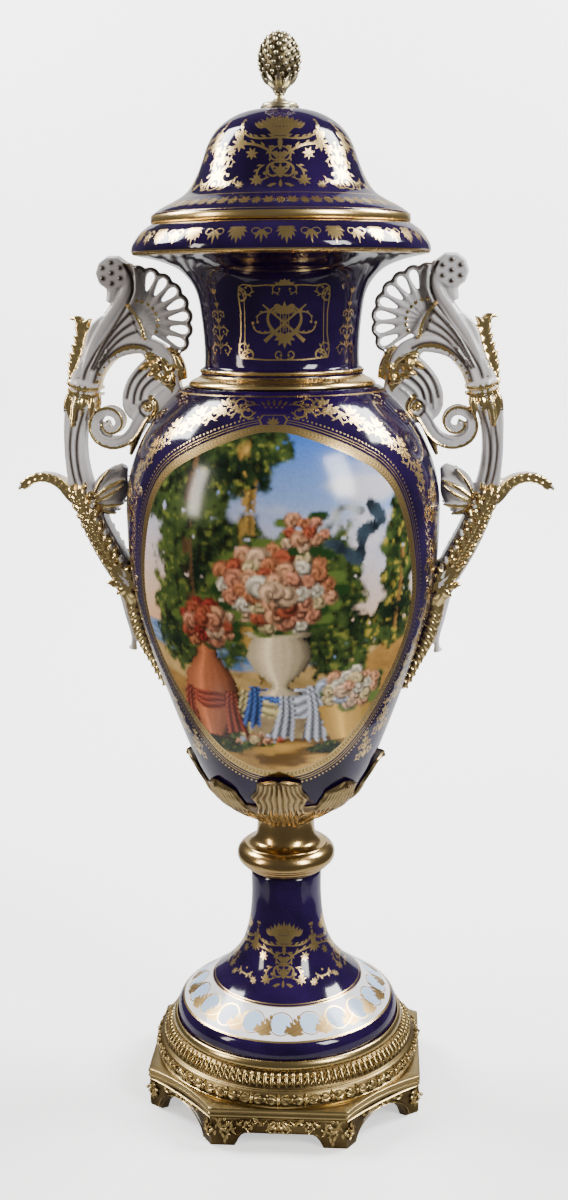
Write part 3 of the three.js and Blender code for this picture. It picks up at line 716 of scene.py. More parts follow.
def disc(x, y, radius, sides=8, tall=1.0):
    """A round dot, or an oval one where tall isn't 1."""
    angle = np.arange(sides) * 2 * np.pi / sides
    return np.column_stack([x + radius * np.cos(angle), y + radius * tall * np.sin(angle)])


def leafy_scroll(x, y, heading, length, curl, tighten, width, leaf=0.0, leaves=0, side=1, bud=1.7):
    """A tapering scroll with small leaves on one side or both and a bud at its end."""
    path = scroll_path(x, y, heading, length, curl, tighten, steps=max(int(length / 2.2), 9))
    shapes = [stroke(path, [width * 0.5, width, width * 0.8, width * 0.4])]
    along = np.gradient(path, axis=0)
    for k in range(leaves):
        i = int((k + 0.7) / leaves * (len(path) - 3))
        angle = math.degrees(math.atan2(along[i, 1], along[i, 0]))
        shrink = 1 - 0.45 * k / leaves
        turn = side * (1 if side else 0) or (1 if k % 2 else -1)
        shapes.append(petal(path[i, 0], path[i, 1], angle + 52 * turn, leaf * shrink, leaf * 0.38 * shrink,
                            -40 * turn))
    if bud:
        shapes.append(disc(path[-1, 0], path[-1, 1], width * bud))
    return shapes


def both_sides(shapes):
    """The shapes with their mirror images across x = 0."""
    return shapes + [shape[::-1] * np.array([-1, 1]) for shape in shapes]


def moved(shapes, x, y, turn=0.0, size=1.0):
    """The shapes turned by degrees, scaled and moved."""
    angle = math.radians(turn)
    spin = np.array([[math.cos(angle), math.sin(angle)], [-math.sin(angle), math.cos(angle)]]) * size
    return [shape @ spin + np.array([x, y]) for shape in shapes]


def flower_basket(width, height):
    """A low basket heaped with flowers and spiky leaves, in gilt, standing on y = 0."""
    half = width / 2
    bowl = height * 0.34
    shapes = [
        np.array([(-half * 0.34, 0), (half * 0.34, 0), (half * 0.5, bowl * 0.5), (half * 0.72, bowl),
                  (-half * 0.72, bowl), (-half * 0.5, bowl * 0.5)]),
        np.array([(-half * 0.5, -height * 0.09), (half * 0.5, -height * 0.09), (half * 0.3, -height * 0.02),
                  (-half * 0.3, -height * 0.02)]),
    ]
    for turn in (-78, -58, -38, -20, 0, 20, 38, 58, 78):
        reach = height * (0.66 - abs(turn) * 0.0016)
        shapes.append(petal(turn / 90 * half * 0.5, bowl * 1.0, 90 - turn, reach, height * 0.15, turn * 0.4))
    for x, y in ((-0.62, 1.5), (-0.3, 1.75), (0, 1.95), (0.3, 1.75), (0.62, 1.5), (-0.16, 1.35),
                 (0.16, 1.35)):
        shapes.append(disc(x * half, y * bowl, height * 0.085))
    return shapes


def run_at(profile, level, first=0, last=None):
    """Distance along a profile at a height, on the stretch whose height grows."""
    last = len(profile) if last is None else last
    run = length_along(profile)
    return float(np.interp(level, profile[first:last, 1], run[first:last]))


def laid(shapes, profile, finish, angle, run_middle):
    """Flat shapes in millimetres laid on a turned surface, as (finish, outline of (degrees, run))."""
    run = length_along(profile)
    made = []
    for shape in shapes:
        along = shape[:, 1] + run_middle
        radius = np.maximum(np.interp(along, run, profile[:, 0]), 5.0)
        made.append((finish, np.column_stack([angle + np.degrees(shape[:, 0] / radius), along])))
    return made


def hoop(finish, low, high, start=-92.0, end=92.0, steps=93):
    """A band round the surface between two distances along its profile."""
    top = np.linspace(start, end, steps)
    return (finish, np.vstack([np.column_stack([top, np.full(steps, low)]),
                               np.column_stack([top[::-1], np.full(steps, high)])]))


def wound_round(outline, spots):
    """True for the spots that lie inside the outline."""
    turns = np.zeros(len(spots), int)
    ends = np.roll(outline, -1, 0)
    for (ax, ay), (bx, by) in zip(outline, ends):
        cross = (bx - ax) * (spots[:, 1] - ay) - (by - ay) * (spots[:, 0] - ax)
        turns += (ay <= spots[:, 1]) & (by > spots[:, 1]) & (cross > 0)
        turns -= (ay > spots[:, 1]) & (by <= spots[:, 1]) & (cross < 0)
    return turns != 0


def thinned(outline):
    """The outline without close points that lie almost on the line between their neighbours."""
    for turn in (0, 1, 0):
        before = np.roll(outline, 1, axis=0)
        chord = np.roll(outline, -1, axis=0) - before
        length = np.maximum(np.linalg.norm(chord, axis=1), 1e-9)
        step = outline - before
        off = np.abs(chord[:, 0] * step[:, 1] - chord[:, 1] * step[:, 0]) / length
        spare = (off < 0.1) & (length < 5.0) & (np.arange(len(outline)) % 2 == turn)
        if len(outline) - spare.sum() > 3:
            outline = outline[~spare]
    return outline


def chart(profile, low, high, columns, shapes, extra):
    """Triangles of a stretch of a turned surface, cut along every outline drawn on it."""
    run = length_along(profile)
    widest = profile[:, 0].max() * math.pi / 180
    left = low * widest
    right = high * widest
    across = np.linspace(left, right, columns + 1)
    dots = [np.column_stack([across, np.full(columns + 1, level)]) for level in run]
    rows = len(run)
    edges = []
    for i in range(rows - 1):
        edges.append((i * (columns + 1), (i + 1) * (columns + 1)))
        edges.append((i * (columns + 1) + columns, (i + 1) * (columns + 1) + columns))
    for row in (0, rows - 1):
        edges += [(row * (columns + 1) + j, row * (columns + 1) + j + 1) for j in range(columns)]
    start = rows * (columns + 1)
    drawn = []
    for finish, outline in shapes:
        flat = outline * np.array([widest, 1.0])
        if flat[:, 0].max() < left or flat[:, 0].min() > right:
            continue
        flat[:, 0] = np.clip(flat[:, 0], left - 3, right + 3)
        flat[:, 1] = np.clip(flat[:, 1], 0, run[-1])
        flat = thinned(flat)
        drawn.append((finish, flat))
        dots.append(flat)
        count = len(flat)
        edges += [(start + k, start + (k + 1) % count) for k in range(count)]
        start += count
    if len(extra):
        dots.append(extra * np.array([widest, 1.0]))
    dots = np.vstack(dots)
    made = geometry.delaunay_2d_cdt([Vector(dot) for dot in dots], edges, [], 0, 1e-3, False)
    spots = np.array([tuple(spot) for spot in made[0]])
    faces = np.array([face for face in made[2] if len(face) == 3])
    spots[np.abs(spots[:, 0] - left) < 2e-3, 0] = left
    spots[np.abs(spots[:, 0] - right) < 2e-3, 0] = right
    a, b, c = (spots[faces[:, k]] for k in range(3))
    area = (b[:, 0] - a[:, 0]) * (c[:, 1] - a[:, 1]) - (b[:, 1] - a[:, 1]) * (c[:, 0] - a[:, 0])
    faces[area < 0] = faces[area < 0][:, ::-1]
    middle = (a + b + c) / 3
    kept = (middle[:, 0] > left) & (middle[:, 0] < right) & (np.abs(area) > 1e-5)
    faces = faces[kept]
    middle = middle[kept]
    finishes = np.zeros(len(faces), int)
    for finish, outline in drawn:
        near = np.flatnonzero(
            (middle[:, 0] > outline[:, 0].min()) & (middle[:, 0] < outline[:, 0].max())
            & (middle[:, 1] > outline[:, 1].min()) & (middle[:, 1] < outline[:, 1].max())
        )
        finishes[near[wound_round(outline, middle[near])]] = finish
    spots[:, 0] /= widest
    return spots, faces, finishes


def drawn_vessel(name, profile, low, high, columns, shapes, finishes, mirror=True, extra=(), twist=None):
    """A turned piece whose gilding and painting are cut flush into its surface.
    The stretch from low to high degrees is drawn once and repeated round the axis."""
    profile = np.asarray(profile, float)
    spots, faces, numbers = chart(profile, low, high, columns, shapes, np.asarray(extra, float))
    run = length_along(profile)
    along = np.gradient(profile, run, axis=0)
    along /= np.linalg.norm(along, axis=1)[:, None]
    copies = int(round(360 / (high - low)))
    radius = np.interp(spots[:, 1], run, profile[:, 0])
    level = np.interp(spots[:, 1], run, profile[:, 1])
    out_r = np.interp(spots[:, 1], run, along[:, 1])
    out_z = np.interp(spots[:, 1], run, -along[:, 0])
    angles = []
    all_faces = []
    for copy in range(copies):
        if mirror and copy % 2:
            angles.append(low + (high - low) * (copy + 1) - (spots[:, 0] - low))
            all_faces.append(faces[:, ::-1] + copy * len(spots))
        else:
            angles.append(low + (high - low) * copy + (spots[:, 0] - low))
            all_faces.append(faces + copy * len(spots))
    angle = np.round(np.mod(np.concatenate(angles), 360), 7) % 360
    radius, level, out_r, out_z, along_run = (np.tile(v, copies)
                                              for v in (radius, level, out_r, out_z, spots[:, 1]))
    shown = angle if twist is None else angle + twist(along_run)
    bearing = np.radians(shown - 90)
    points = np.column_stack([radius * np.cos(bearing), radius * np.sin(bearing), level])
    normals = np.column_stack([out_r * np.cos(bearing), out_r * np.sin(bearing), out_z])
    normals /= np.linalg.norm(normals, axis=1)[:, None]
    first, index = np.unique(np.round(points, 2), axis=0, return_index=True, return_inverse=True)[1:]
    triangles = index.ravel()[np.vstack(all_faces)]
    whole = (triangles[:, 0] != triangles[:, 1]) & (triangles[:, 1] != triangles[:, 2]) & (
        triangles[:, 2] != triangles[:, 0])
    numbers = np.tile(numbers, copies)[whole]
    triangles = triangles[whole]
    at_axis = radius[first] < 0.01
    normals = normals[first]
    normals[at_axis, :2] = 0
    mesh = bpy.data.meshes.new(name)
    mesh.from_pydata((points[first] * MM).tolist(), [], triangles.tolist())
    for finish in finishes:
        mesh.materials.append(finish)
    mesh.polygons.foreach_set("material_index", numbers.astype(np.int32))
    mesh.shade_smooth()
    mesh.normals_split_custom_set_from_vertices(normals.tolist())
    made = bpy.data.objects.new(name, mesh)
    bpy.context.collection.objects.link(made)
    return made, angle[first], along_run[first]


def up_pedestal(share):
    return PEDESTAL_BOTTOM + share * PEDESTAL_RISE


def out_pedestal(share):
    return PEDESTAL_STEM + share * (PEDESTAL_RADIUS - PEDESTAL_STEM)


pedestal_sweep = curve_through([
    (out_pedestal(0.965), PEDESTAL_BOTTOM + PEDESTAL_EDGE), (out_pedestal(0.72), up_pedestal(0.21)),
    (out_pedestal(0.52), up_pedestal(0.277)), (out_pedestal(0.335), up_pedestal(0.357)),
    (out_pedestal(0.15), up_pedestal(0.473)), (out_pedestal(0.04), up_pedestal(0.634)),
    (out_pedestal(0), up_pedestal(0.804)), (out_pedestal(0), PEDESTAL_TOP - 0.6),
], 4.5)
pedestal_foot = curve_through([
    (PEDESTAL_RADIUS - 0.5, PEDESTAL_BOTTOM), (PEDESTAL_RADIUS, PEDESTAL_BOTTOM + 1),
    (PEDESTAL_RADIUS, PEDESTAL_BOTTOM + 12), (PEDESTAL_RADIUS - 0.4, PEDESTAL_BOTTOM + 18),
    (out_pedestal(0.965), PEDESTAL_BOTTOM + PEDESTAL_EDGE),
], 3.5)
pedestal_profile = np.vstack([
    [(0, PEDESTAL_TOP - PEDESTAL_WALL), (PEDESTAL_STEM - PEDESTAL_WALL, PEDESTAL_TOP - PEDESTAL_WALL)],
    pedestal_sweep[::-3][2:] - np.array([PEDESTAL_WALL * 0.9, PEDESTAL_WALL * 0.3]),
    [(PEDESTAL_RADIUS - PEDESTAL_WALL, PEDESTAL_BOTTOM)],
    pedestal_foot,
    pedestal_sweep[1:],
    [(PEDESTAL_STEM - 0.6, PEDESTAL_TOP), (0, PEDESTAL_TOP)],
])
pedestal_first = int(np.argmax(pedestal_profile[:, 0] >= PEDESTAL_RADIUS - 0.5))


def pedestal_run(level):
    return run_at(pedestal_profile, level, pedestal_first, len(pedestal_profile) - 1)


band_low = pedestal_run(116.6)
band_high = pedestal_run(141.5)
band_middle = (band_low + band_high) / 2
band_drawing = [
    hoop(GILT, band_low - 2.6, band_low), hoop(WHITE, band_low, band_high),
    hoop(GILT, band_high, band_high + 1.3), hoop(GILT, band_high + 3.2, band_high + 4.4),
    hoop(GILT, pedestal_run(92.0), pedestal_run(92.8)),
]
oval = np.radians(np.arange(0, 361, 15))
oval_ring = stroke(np.column_stack([14.2 * np.cos(oval), 15.0 * np.sin(oval)]), [0.6, 0.6])
scroll_leaf = [petal(-11, -11.5, 12, 34, 11.5, 66), petal(-13, -11, 60, 12, 4.4, -40),
               petal(-7, -11.5, -24, 10, 4.2, 40)]
scroll_leaf += [petal(-6 + 3.4 * k, -9.5 + 4.6 * k, 108 - 6 * k, 9.5 - k, 4.4, 30) for k in range(4)]
scroll_leaf += [petal(-1 + 3.6 * k, -10.5 + 5.2 * k, -22 + 12 * k, 9.5 - k, 4.4, 30) for k in range(3)]
leaf_rib = stroke(scroll_path(-9, -11, 14, 29, 62, 0, 12), [0.35, 0.6, 0.3])
for k in range(-4, 5):
    middle = k * 360 / BAND_OVALS
    between = middle + 180 / BAND_OVALS
    band_drawing += laid([disc(0, 0, 12.2, 20, 1.1)], pedestal_profile, BLUE, middle, band_middle)
    band_drawing += laid([oval_ring], pedestal_profile, GILT, middle, band_middle)
    band_drawing += laid(moved(scroll_leaf, 0, 0, 0, 1.12), pedestal_profile, BROWN, between, band_middle)
    band_drawing += laid(moved([leaf_rib], 0, 0, 0, 1.12), pedestal_profile, GILT, between, band_middle)


def fruit(x, y, size):
    """A small rosette with leaves round it."""
    shapes = [disc(x, y, size, 9)]
    return shapes + [petal(x, y, 20 + turn, size * 2.9, size * 1.15) for turn in range(0, 360, 51)]


def basket_among_scrolls():
    """The gilt motif of the foot and the lid: a flower basket over branching leafy scrolls."""
    half = leafy_scroll(1.5, -3, 4, 62, -70, 210, 1.3, 9, 7)
    half += leafy_scroll(1.2, -12, -10, 40, -120, -260, 1.2, 7, 5)
    half += fruit(46, -8, 3.4) + fruit(31, -20, 2.6) + fruit(56, -16, 2.2)
    half += [petal(46, -4, 90 - turn, 13, 4.4, turn) for turn in (-45, -15, 15, 45)]
    half += leafy_scroll(0, -31, 62, 92, -132, 20, 1.6, 9, 9)
    half += leafy_scroll(0, -31, 20, 50, -210, -190, 1.4, 6, 4, -1)
    half += leafy_scroll(17, -33, -30, 36, -40, -260, 1.3, 7, 5)
    half += leafy_scroll(48, -46, -40, 38, -20, 300, 1.3, 7, 5, -1)
    half += fruit(26, -52, 2.8) + fruit(46, -57, 2.2)
    half += [petal(0, -44, 90 + turn, 11, 4.2) for turn in (-58, -30)]
    half += [petal(4, -56, -20, 12, 4), disc(11, -60, 1.6)]
    motif = both_sides(half) + [petal(0, -44, 90, 13, 5), disc(0, -46, 2.6), petal(0, -62, 90, 12, 4),
                                disc(0, -14, 2.0)]
    motif += [petal(0, -14, 90, 14, 5.5), petal(0, -20, -90, 10, 4)]
    spikes = [petal(2 + 3 * k, 10, 84 - 14 * k, 19 - k, 5.5, 10 * k) for k in range(6)]
    return motif + flower_basket(46, 33) + both_sides(spikes)


basket_run = pedestal_run(203)
pedestal_drawing = band_drawing + laid(moved(basket_among_scrolls(), 0, 0, 0, 0.86), pedestal_profile, GILT,
                                       0, basket_run)
pedestal_drawing += laid(both_sides([disc(5 + 6 * k, 14, 1.2) for k in range(3)]), pedestal_profile, BROWN,
                         0, basket_run)
pedestal, _, _ = drawn_vessel(
    "porcelain_pedestal", pedestal_profile, -45, 45, 22, pedestal_drawing, PORCELAIN, mirror=False)
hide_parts("pedestal")
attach(pedestal, "root")

# Knop
# A turned gilt-bronze collar with several fine mouldings. It is threaded on the rod that holds
# the pedestal, the cup and the vessel together, and is polished bright.

KNOP_BOTTOM = PEDESTAL_TOP + CLEARANCE
KNOP_RISE = 68.5
KNOP_TOP = KNOP_BOTTOM + KNOP_RISE
knop_profile = np.array([
    (0, 0), (43.8, 0), (44.8, 0.6), (46.4, 2.2), (47.2, 3.6), (50.0, 4.6), (52.0, 6.0), (52.9, 7.6),
    (52.9, 8.6), (54.6, 9.6), (57.0, 11.0), (57.8, 12.4), (57.9, 13.0), (59.2, 14.2), (60.1, 16.6),
    (60.3, 19.0), (60.3, 21.6), (59.8, 24.0), (58.6, 26.6), (56.8, 29.0), (54.4, 31.2), (52.0, 32.8),
    (51.0, 33.2), (50.4, 34.2), (47.6, 34.8), (43.6, 36.4), (40.0, 39.2), (37.6, 43.0), (36.2, 47.6),
    (35.4, 53.0), (35.1, 60.0), (35.4, 64.4), (36.2, 65.2), (36.2, 66.6), (35.6, 67.6), (35.0, KNOP_RISE),
    (0, KNOP_RISE),
]) + np.array([0, KNOP_BOTTOM])
knop_points, knop_faces = weld(*turned(knop_profile, 96))
knop = add_mesh("turned_knop", knop_points, knop_faces, [turned_bronze], smooth=38)
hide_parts("knop")
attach(knop, "root")

# Leaf cup
# A cast gilt-bronze cup of eight acanthus leaves that holds the foot of the vessel. Four leaves
# are taller and curl outwards at the tip. It is clamped between the knop and the vessel.

CUP_BOTTOM = KNOP_TOP + CLEARANCE
CUP_FLOOR = 9.0
BODY_BOTTOM = CUP_BOTTOM + CUP_FLOOR + CLEARANCE
BODY_RADIUS = 184.5
BELLY_RISE = 372.0
BELLY = BODY_BOTTOM + BELLY_RISE
LEAF_HEIGHT = 92.0
SHORT_LEAF_HEIGHT = 74.0

body_lower = curve_through([
    (BODY_RADIUS * out, BODY_BOTTOM + BELLY_RISE * up)
    for out, up in (
        (0.15, 0), (0.27, 0.01), (0.37, 0.037), (0.46, 0.07), (0.55, 0.14), (0.612, 0.208), (0.695, 0.315),
        (0.773, 0.423), (0.867, 0.557), (0.945, 0.7), (0.989, 0.853), (1, 1),
    )
], 6.5)
leaf_bed = np.vstack([[(36.5, CUP_BOTTOM), (38.0, CUP_BOTTOM + 3)], body_lower[4:] + np.array([0.6, -0.4])])


def acanthus(height, half_width, curl, lobes, rows=44, columns=60):
    """A cast leaf on the vessel's foot: lobed edges, fanned ribs and a tip that curls outwards."""
    reach = run_at(leaf_bed, CUP_BOTTOM + height)
    up, side = np.meshgrid(np.linspace(0, 1, rows + 1), np.linspace(-1, 1, columns + 1), indexing="ij")
    body_width = np.interp(up, [0, 0.2, 0.5, 0.72, 0.88, 1], [0.5, 0.62, 0.9, 1.0, 0.74, 0.12])
    notch = 1 - 0.2 * np.abs(np.sin(up * math.pi * lobes)) ** 0.6 * np.clip(up * 3, 0, 1)
    across = side * body_width * notch * half_width
    ribs = (0.5 + 0.5 * np.cos(side * (7 + 4 * up) * math.pi)) ** 0.8
    crown = np.exp(-(side / 0.11) ** 2)
    thick = 2.0 + 2.6 * ribs * np.clip(up * 4, 0.3, 1) * (1 - 0.35 * np.abs(side)) + 1.6 * crown * (1 - up)
    tip = 3.4 * crown * np.exp(-((up - 0.93) / 0.06) ** 2)
    thick += 1.6 * np.abs(np.sin(up * math.pi * lobes)) * np.abs(side) ** 2 + tip
    lift = curl * np.clip((up - 0.72) / 0.28, 0, 1) ** 2 * (1 - 0.35 * side ** 2)
    drop = curl * 0.8 * np.clip((up - 0.86) / 0.14, 0, 1) ** 2
    edge = np.clip((1 - np.abs(side)) * 9, 0, 1) * np.clip((1 - up) * 12, 0, 1)
    outer = np.stack([across, up * reach - drop, lift + 0.5 + (thick - 0.5) * np.maximum(edge, 0.15)], -1)
    inner = np.stack([across * 0.985, up * reach * 0.995 - drop, lift + 0.1], -1)
    relief = np.concatenate([(0.25 + 0.75 * ribs * edge).ravel(), np.full(up.size, 0.2)])
    front = grid_faces(rows + 1, columns + 1)[:, ::-1]
    back = front[:, ::-1] + up.size
    rim = []
    size = columns + 1
    loop = list(range(size)) + [size * i + columns for i in range(1, rows + 1)]
    loop += [size * rows + j for j in range(columns - 1, -1, -1)] + [size * i for i in range(rows - 1, 0, -1)]
    for a, b in zip(loop, loop[1:] + loop[:1]):
        rim.append((b, a, a + up.size, b + up.size))
    points = np.vstack([outer.reshape(-1, 3), inner.reshape(-1, 3)])
    return points, np.vstack([front[:, ::-1], back[:, ::-1], np.array(rim)[:, ::-1]]), relief


def leaf_ring(name, turn, leaf):
    """Four equal leaves round the cup, the first at the given angle from the front."""
    flat, faces, relief = leaf
    placed, faces = on_turned(leaf_bed, 0.0, [(flat, faces)])
    angle = math.radians(turn)
    spin = np.array([[math.cos(angle), math.sin(angle), 0], [-math.sin(angle), math.cos(angle), 0],
                     [0, 0, 1]])
    motif = add_mesh(name + "_motif", placed @ spin, faces, [leaf_bronze], smooth=70)
    set_relief(motif, relief)
    return round_axis(name, motif, 4, leaf_bronze)


leaf_bronze = bronze_finish("leaf_bronze", (0.52, 0.38, 0.18), (0.05, 0.028, 0.012), 18.0, 0.2, 0.4)
tall_leaves = leaf_ring("cup_tall_leaves", 0, acanthus(LEAF_HEIGHT, 38.0, 8.5, 4.5))
short_leaves = leaf_ring("cup_short_leaves", 45, acanthus(SHORT_LEAF_HEIGHT, 34.0, 3.0, 3.5))
cup_profile = np.vstack([
    [(0, CUP_BOTTOM), (36.0, CUP_BOTTOM), (37.0, CUP_BOTTOM + 1), (37.6, CUP_BOTTOM + 4)],
    (leaf_bed[2:] + np.array([1.6, -1.2]))[leaf_bed[2:, 1] < CUP_BOTTOM + 42],
])
cup_inside = (leaf_bed[2:] + np.array([0.3, -0.1]))[leaf_bed[2:, 1] < CUP_BOTTOM + 42][::-1]
cup_profile = np.vstack([cup_profile, cup_inside,
                         [(28, CUP_BOTTOM + CUP_FLOOR), (0, CUP_BOTTOM + CUP_FLOOR)]])
cup_points, cup_faces = weld(*turned(cup_profile, 96))
cup = add_mesh("cup_shell", cup_points, cup_faces, [leaf_bronze], smooth=40)
set_relief(cup, np.full(len(cup_points), 0.25))
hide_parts("leaf_cup")
for carved in (cup, tall_leaves, short_leaves):
    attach(carved, "root")

# Vessel
# One hollow thrown porcelain body from the cup to the flared mouth, white inside. Outside it has
# a cobalt glaze with fired gilding, and a painted panel front and back in a gilt leaf border.

SHOULDER_RISE = 144.0
SHOULDER_STRETCH = 1.24
SHOULDER_CENTRE = 10.85
SHOULDER_TOP = BELLY + SHOULDER_RISE
NECK_BOTTOM = SHOULDER_TOP + 23.0
NECK_TOP = NECK_BOTTOM + 125.0
MOUTH_TOP = NECK_TOP + 33.0
BODY_WALL = 8.0
NECK_TURN = 6.0

shoulder_angle = np.linspace(0, math.asin(1 / SHOULDER_STRETCH), 40)[1:]
body_shoulder = np.column_stack([
    SHOULDER_CENTRE + (BODY_RADIUS - SHOULDER_CENTRE) * np.cos(shoulder_angle),
    BELLY + SHOULDER_RISE * SHOULDER_STRETCH * np.sin(shoulder_angle),
])
neck_ring = np.array([
    (103.0, 0.2), (106.6, 0.4), (108.2, 1.4), (108.5, 2.6), (108.0, 4.2), (105.6, 6.6), (101.6, 8.8),
    (97.8, 10.4), (94.6, 12.2), (93.0, 14.0), (92.8, 15.2), (94.2, 16.2), (95.0, 17.6), (94.6, 19.2),
    (92.6, 20.6), (90.4, 21.6),
]) + np.array([0, SHOULDER_TOP])
body_neck = curve_through([
    (89.6, NECK_BOTTOM), (89.0, NECK_BOTTOM + 12.5), (91.4, NECK_BOTTOM + 50), (98.4, NECK_BOTTOM + 86.25),
    (115.1, NECK_BOTTOM + 107.5), (136.4, NECK_BOTTOM + 117.5), (166.9, NECK_TOP - 0.3),
], 6.0)
mouth = np.vstack([
    [(168.4, NECK_TOP + 0.2), (169.6, NECK_TOP + 1.4)],
    curve_through([(170.5, NECK_TOP + 4.2), (169.6, NECK_TOP + 9.5), (166.7, NECK_TOP + 14.9),
                   (159.7, NECK_TOP + 24.4), (150.2, MOUTH_TOP - 1.2)], 3.5),
    [(148.6, MOUTH_TOP - 0.2), (147.0, MOUTH_TOP), (139.0, MOUTH_TOP), (138.0, MOUTH_TOP - 1.0)],
])
body_inside = np.vstack([
    [(138.0, MOUTH_TOP - 8), (153.0, MOUTH_TOP - 15), (157.0, NECK_TOP + 12), (154.0, NECK_TOP + 7)],
    [(126.0, NECK_TOP - 1), (108.0, NECK_TOP - 12), (91.0, NECK_TOP - 38), (83.0, NECK_TOP - 76)],
    [(81.0, NECK_BOTTOM + 8), (81.0, SHOULDER_TOP + 9), (100.5, SHOULDER_TOP - 8)],
    (body_shoulder[-5::-6] - np.array([BODY_WALL, 3.0]))[body_shoulder[-5::-6, 1] < SHOULDER_TOP - 18],
    body_lower[-1:3:-3] + np.array([-BODY_WALL, 2.6]),
    [(28, BODY_BOTTOM + BODY_WALL + 2), (0, BODY_BOTTOM + BODY_WALL)],
])
body_profile = np.vstack([
    [(0, BODY_BOTTOM)], body_lower, body_shoulder, neck_ring, body_neck, mouth, body_inside,
])
body_outside_rows = 1 + len(body_lower) + len(body_shoulder) + len(neck_ring) + len(body_neck) + len(mouth)
body_run = length_along(body_profile)


def body_radius(along):
    return np.interp(along, body_run, body_profile[:, 0])


def vessel_run(level):
    return run_at(body_profile, level, 1, body_outside_rows)


panel_half_angle = np.array([
    (438.5, 0), (439.5, 8), (443, 16), (450, 24), (460, 32), (480, 41), (508, 49), (540, 55), (575, 59),
    (610, 60.8), (650, 60.4), (697, 57.2), (745, 52.6), (780, 48.2), (802, 42.5), (818, 34), (829, 26),
    (838, 17.5), (844, 10), (846.5, 5), (847, 0),
], float)


def panel_outline(inset):
    """Half of the painted panel's outline, from the bottom to the top, moved inwards."""
    runs = np.array([vessel_run(level) for level in panel_half_angle[:, 0]])
    radius = body_radius(runs)
    flat = np.column_stack([np.radians(panel_half_angle[:, 1]) * radius, runs])
    flat = curve_through(flat, 5.0)
    along = np.gradient(flat, axis=0)
    along /= np.linalg.norm(along, axis=1)[:, None]
    flat = flat + np.column_stack([-along[:, 1], along[:, 0]]) * inset
    flat[0, 0] = 0
    flat[-1, 0] = 0
    radius = body_radius(flat[:, 1])
    return np.column_stack([np.degrees(np.maximum(flat[:, 0], 0) / radius), flat[:, 1]])


def whole_outline(half):
    """A closed outline from the half of it on one side."""
    return np.vstack([half, (half * np.array([-1, 1]))[::-1][1:-1]])


def line_round(finish, inset, width):
    """A thin line that follows the panel's border at a distance from it."""
    return (finish, np.vstack([panel_outline(inset), panel_outline(inset + width)[::-1]]))


border = panel_outline(0.0)
border_inside = panel_outline(10.0)
vessel_drawing = [
    (GILT, whole_outline(border)),
    (PAINTED, whole_outline(border_inside)),
    line_round(GILT, -3.4, 0.9),
    line_round(GILT, -6.4, 0.8),
    hoop(GILT, vessel_run(SHOULDER_TOP - 5.2), vessel_run(SHOULDER_TOP - 3.8)),
    hoop(GILT, vessel_run(SHOULDER_TOP + 0.3), vessel_run(SHOULDER_TOP + 13.5)),
    hoop(GILT, vessel_run(SHOULDER_TOP + 16.2), vessel_run(SHOULDER_TOP + 20.4)),
    hoop(GILT, vessel_run(NECK_TOP - 1.5), vessel_run(NECK_TOP + 3.4)),
    hoop(GILT, vessel_run(MOUTH_TOP - 1.4), body_run[body_outside_rows - 1]),
    hoop(WHITE, body_run[body_outside_rows - 1] + 0.1, body_run[-1]),
]
border_middle = panel_outline(5.0)
border_radius = body_radius(border_middle[:, 1])
border_flat = np.column_stack([np.radians(border_middle[:, 0]) * border_radius, border_middle[:, 1]])
border_flat = curve_through(border_flat, 4.6)
border_heading = np.degrees(np.arctan2(*np.gradient(border_flat, axis=0)[:, ::-1].T))
for k in range(2, len(border_flat) - 2):
    x, y = border_flat[k]
    for side in (38, -38):
        leaf = petal(0, 0, border_heading[k] + side, 5.4, 2.0)
        radius = body_radius(leaf[:, 1] + y)
        leaf = np.column_stack([np.degrees((leaf[:, 0] + x) / radius), leaf[:, 1] + y])
        vessel_drawing.append((BROWN, leaf))


def on_vessel(shapes, finish, angle, level):
    return laid(shapes, body_profile, finish, angle, vessel_run(level))


bead_line = panel_outline(-10.0)
bead_radius = body_radius(bead_line[:, 1])
for (angle, along), radius in list(zip(bead_line, bead_radius))[2:]:
    dot = disc(0, 0, 1.3, 7) * np.array([180 / math.pi / radius, 1]) + np.array([angle, along])
    vessel_drawing.append((GILT, dot))

shoulder_scrolls = []
shoulder_scrolls += on_vessel(leafy_scroll(0, 0, 10, 52, -80, -300, 1.5, 9, 6), GILT, 7, 866)
shoulder_scrolls += on_vessel(leafy_scroll(0, 0, -20, 46, 120, 260, 1.5, 9, 5, -1), GILT, 12, 862)
for angle, level, lean in ((24, 862, -10), (36, 852, -22), (47, 838, -36), (56, 816, -52), (63, 788, -66)):
    shoulder_scrolls += on_vessel(leafy_scroll(0, 0, lean + 20, 44, -70, -310, 1.5, 9, 6), GILT, angle, level)
    shoulder_scrolls += on_vessel(leafy_scroll(0, 0, lean + 160, 36, 80, 300, 1.4, 8, 5, -1), GILT, angle,
                                  level)
    shoulder_scrolls += on_vessel([petal(0, 0, lean - 60 + turn, 12, 5) for turn in (-36, 0, 36)], GILT,
                                  angle, level)
    shoulder_scrolls += on_vessel([petal(0, 0, lean + 90 + turn, 13, 5) for turn in (-40, 0, 40)], GILT,
                                  angle, level + 3)
vessel_drawing += shoulder_scrolls
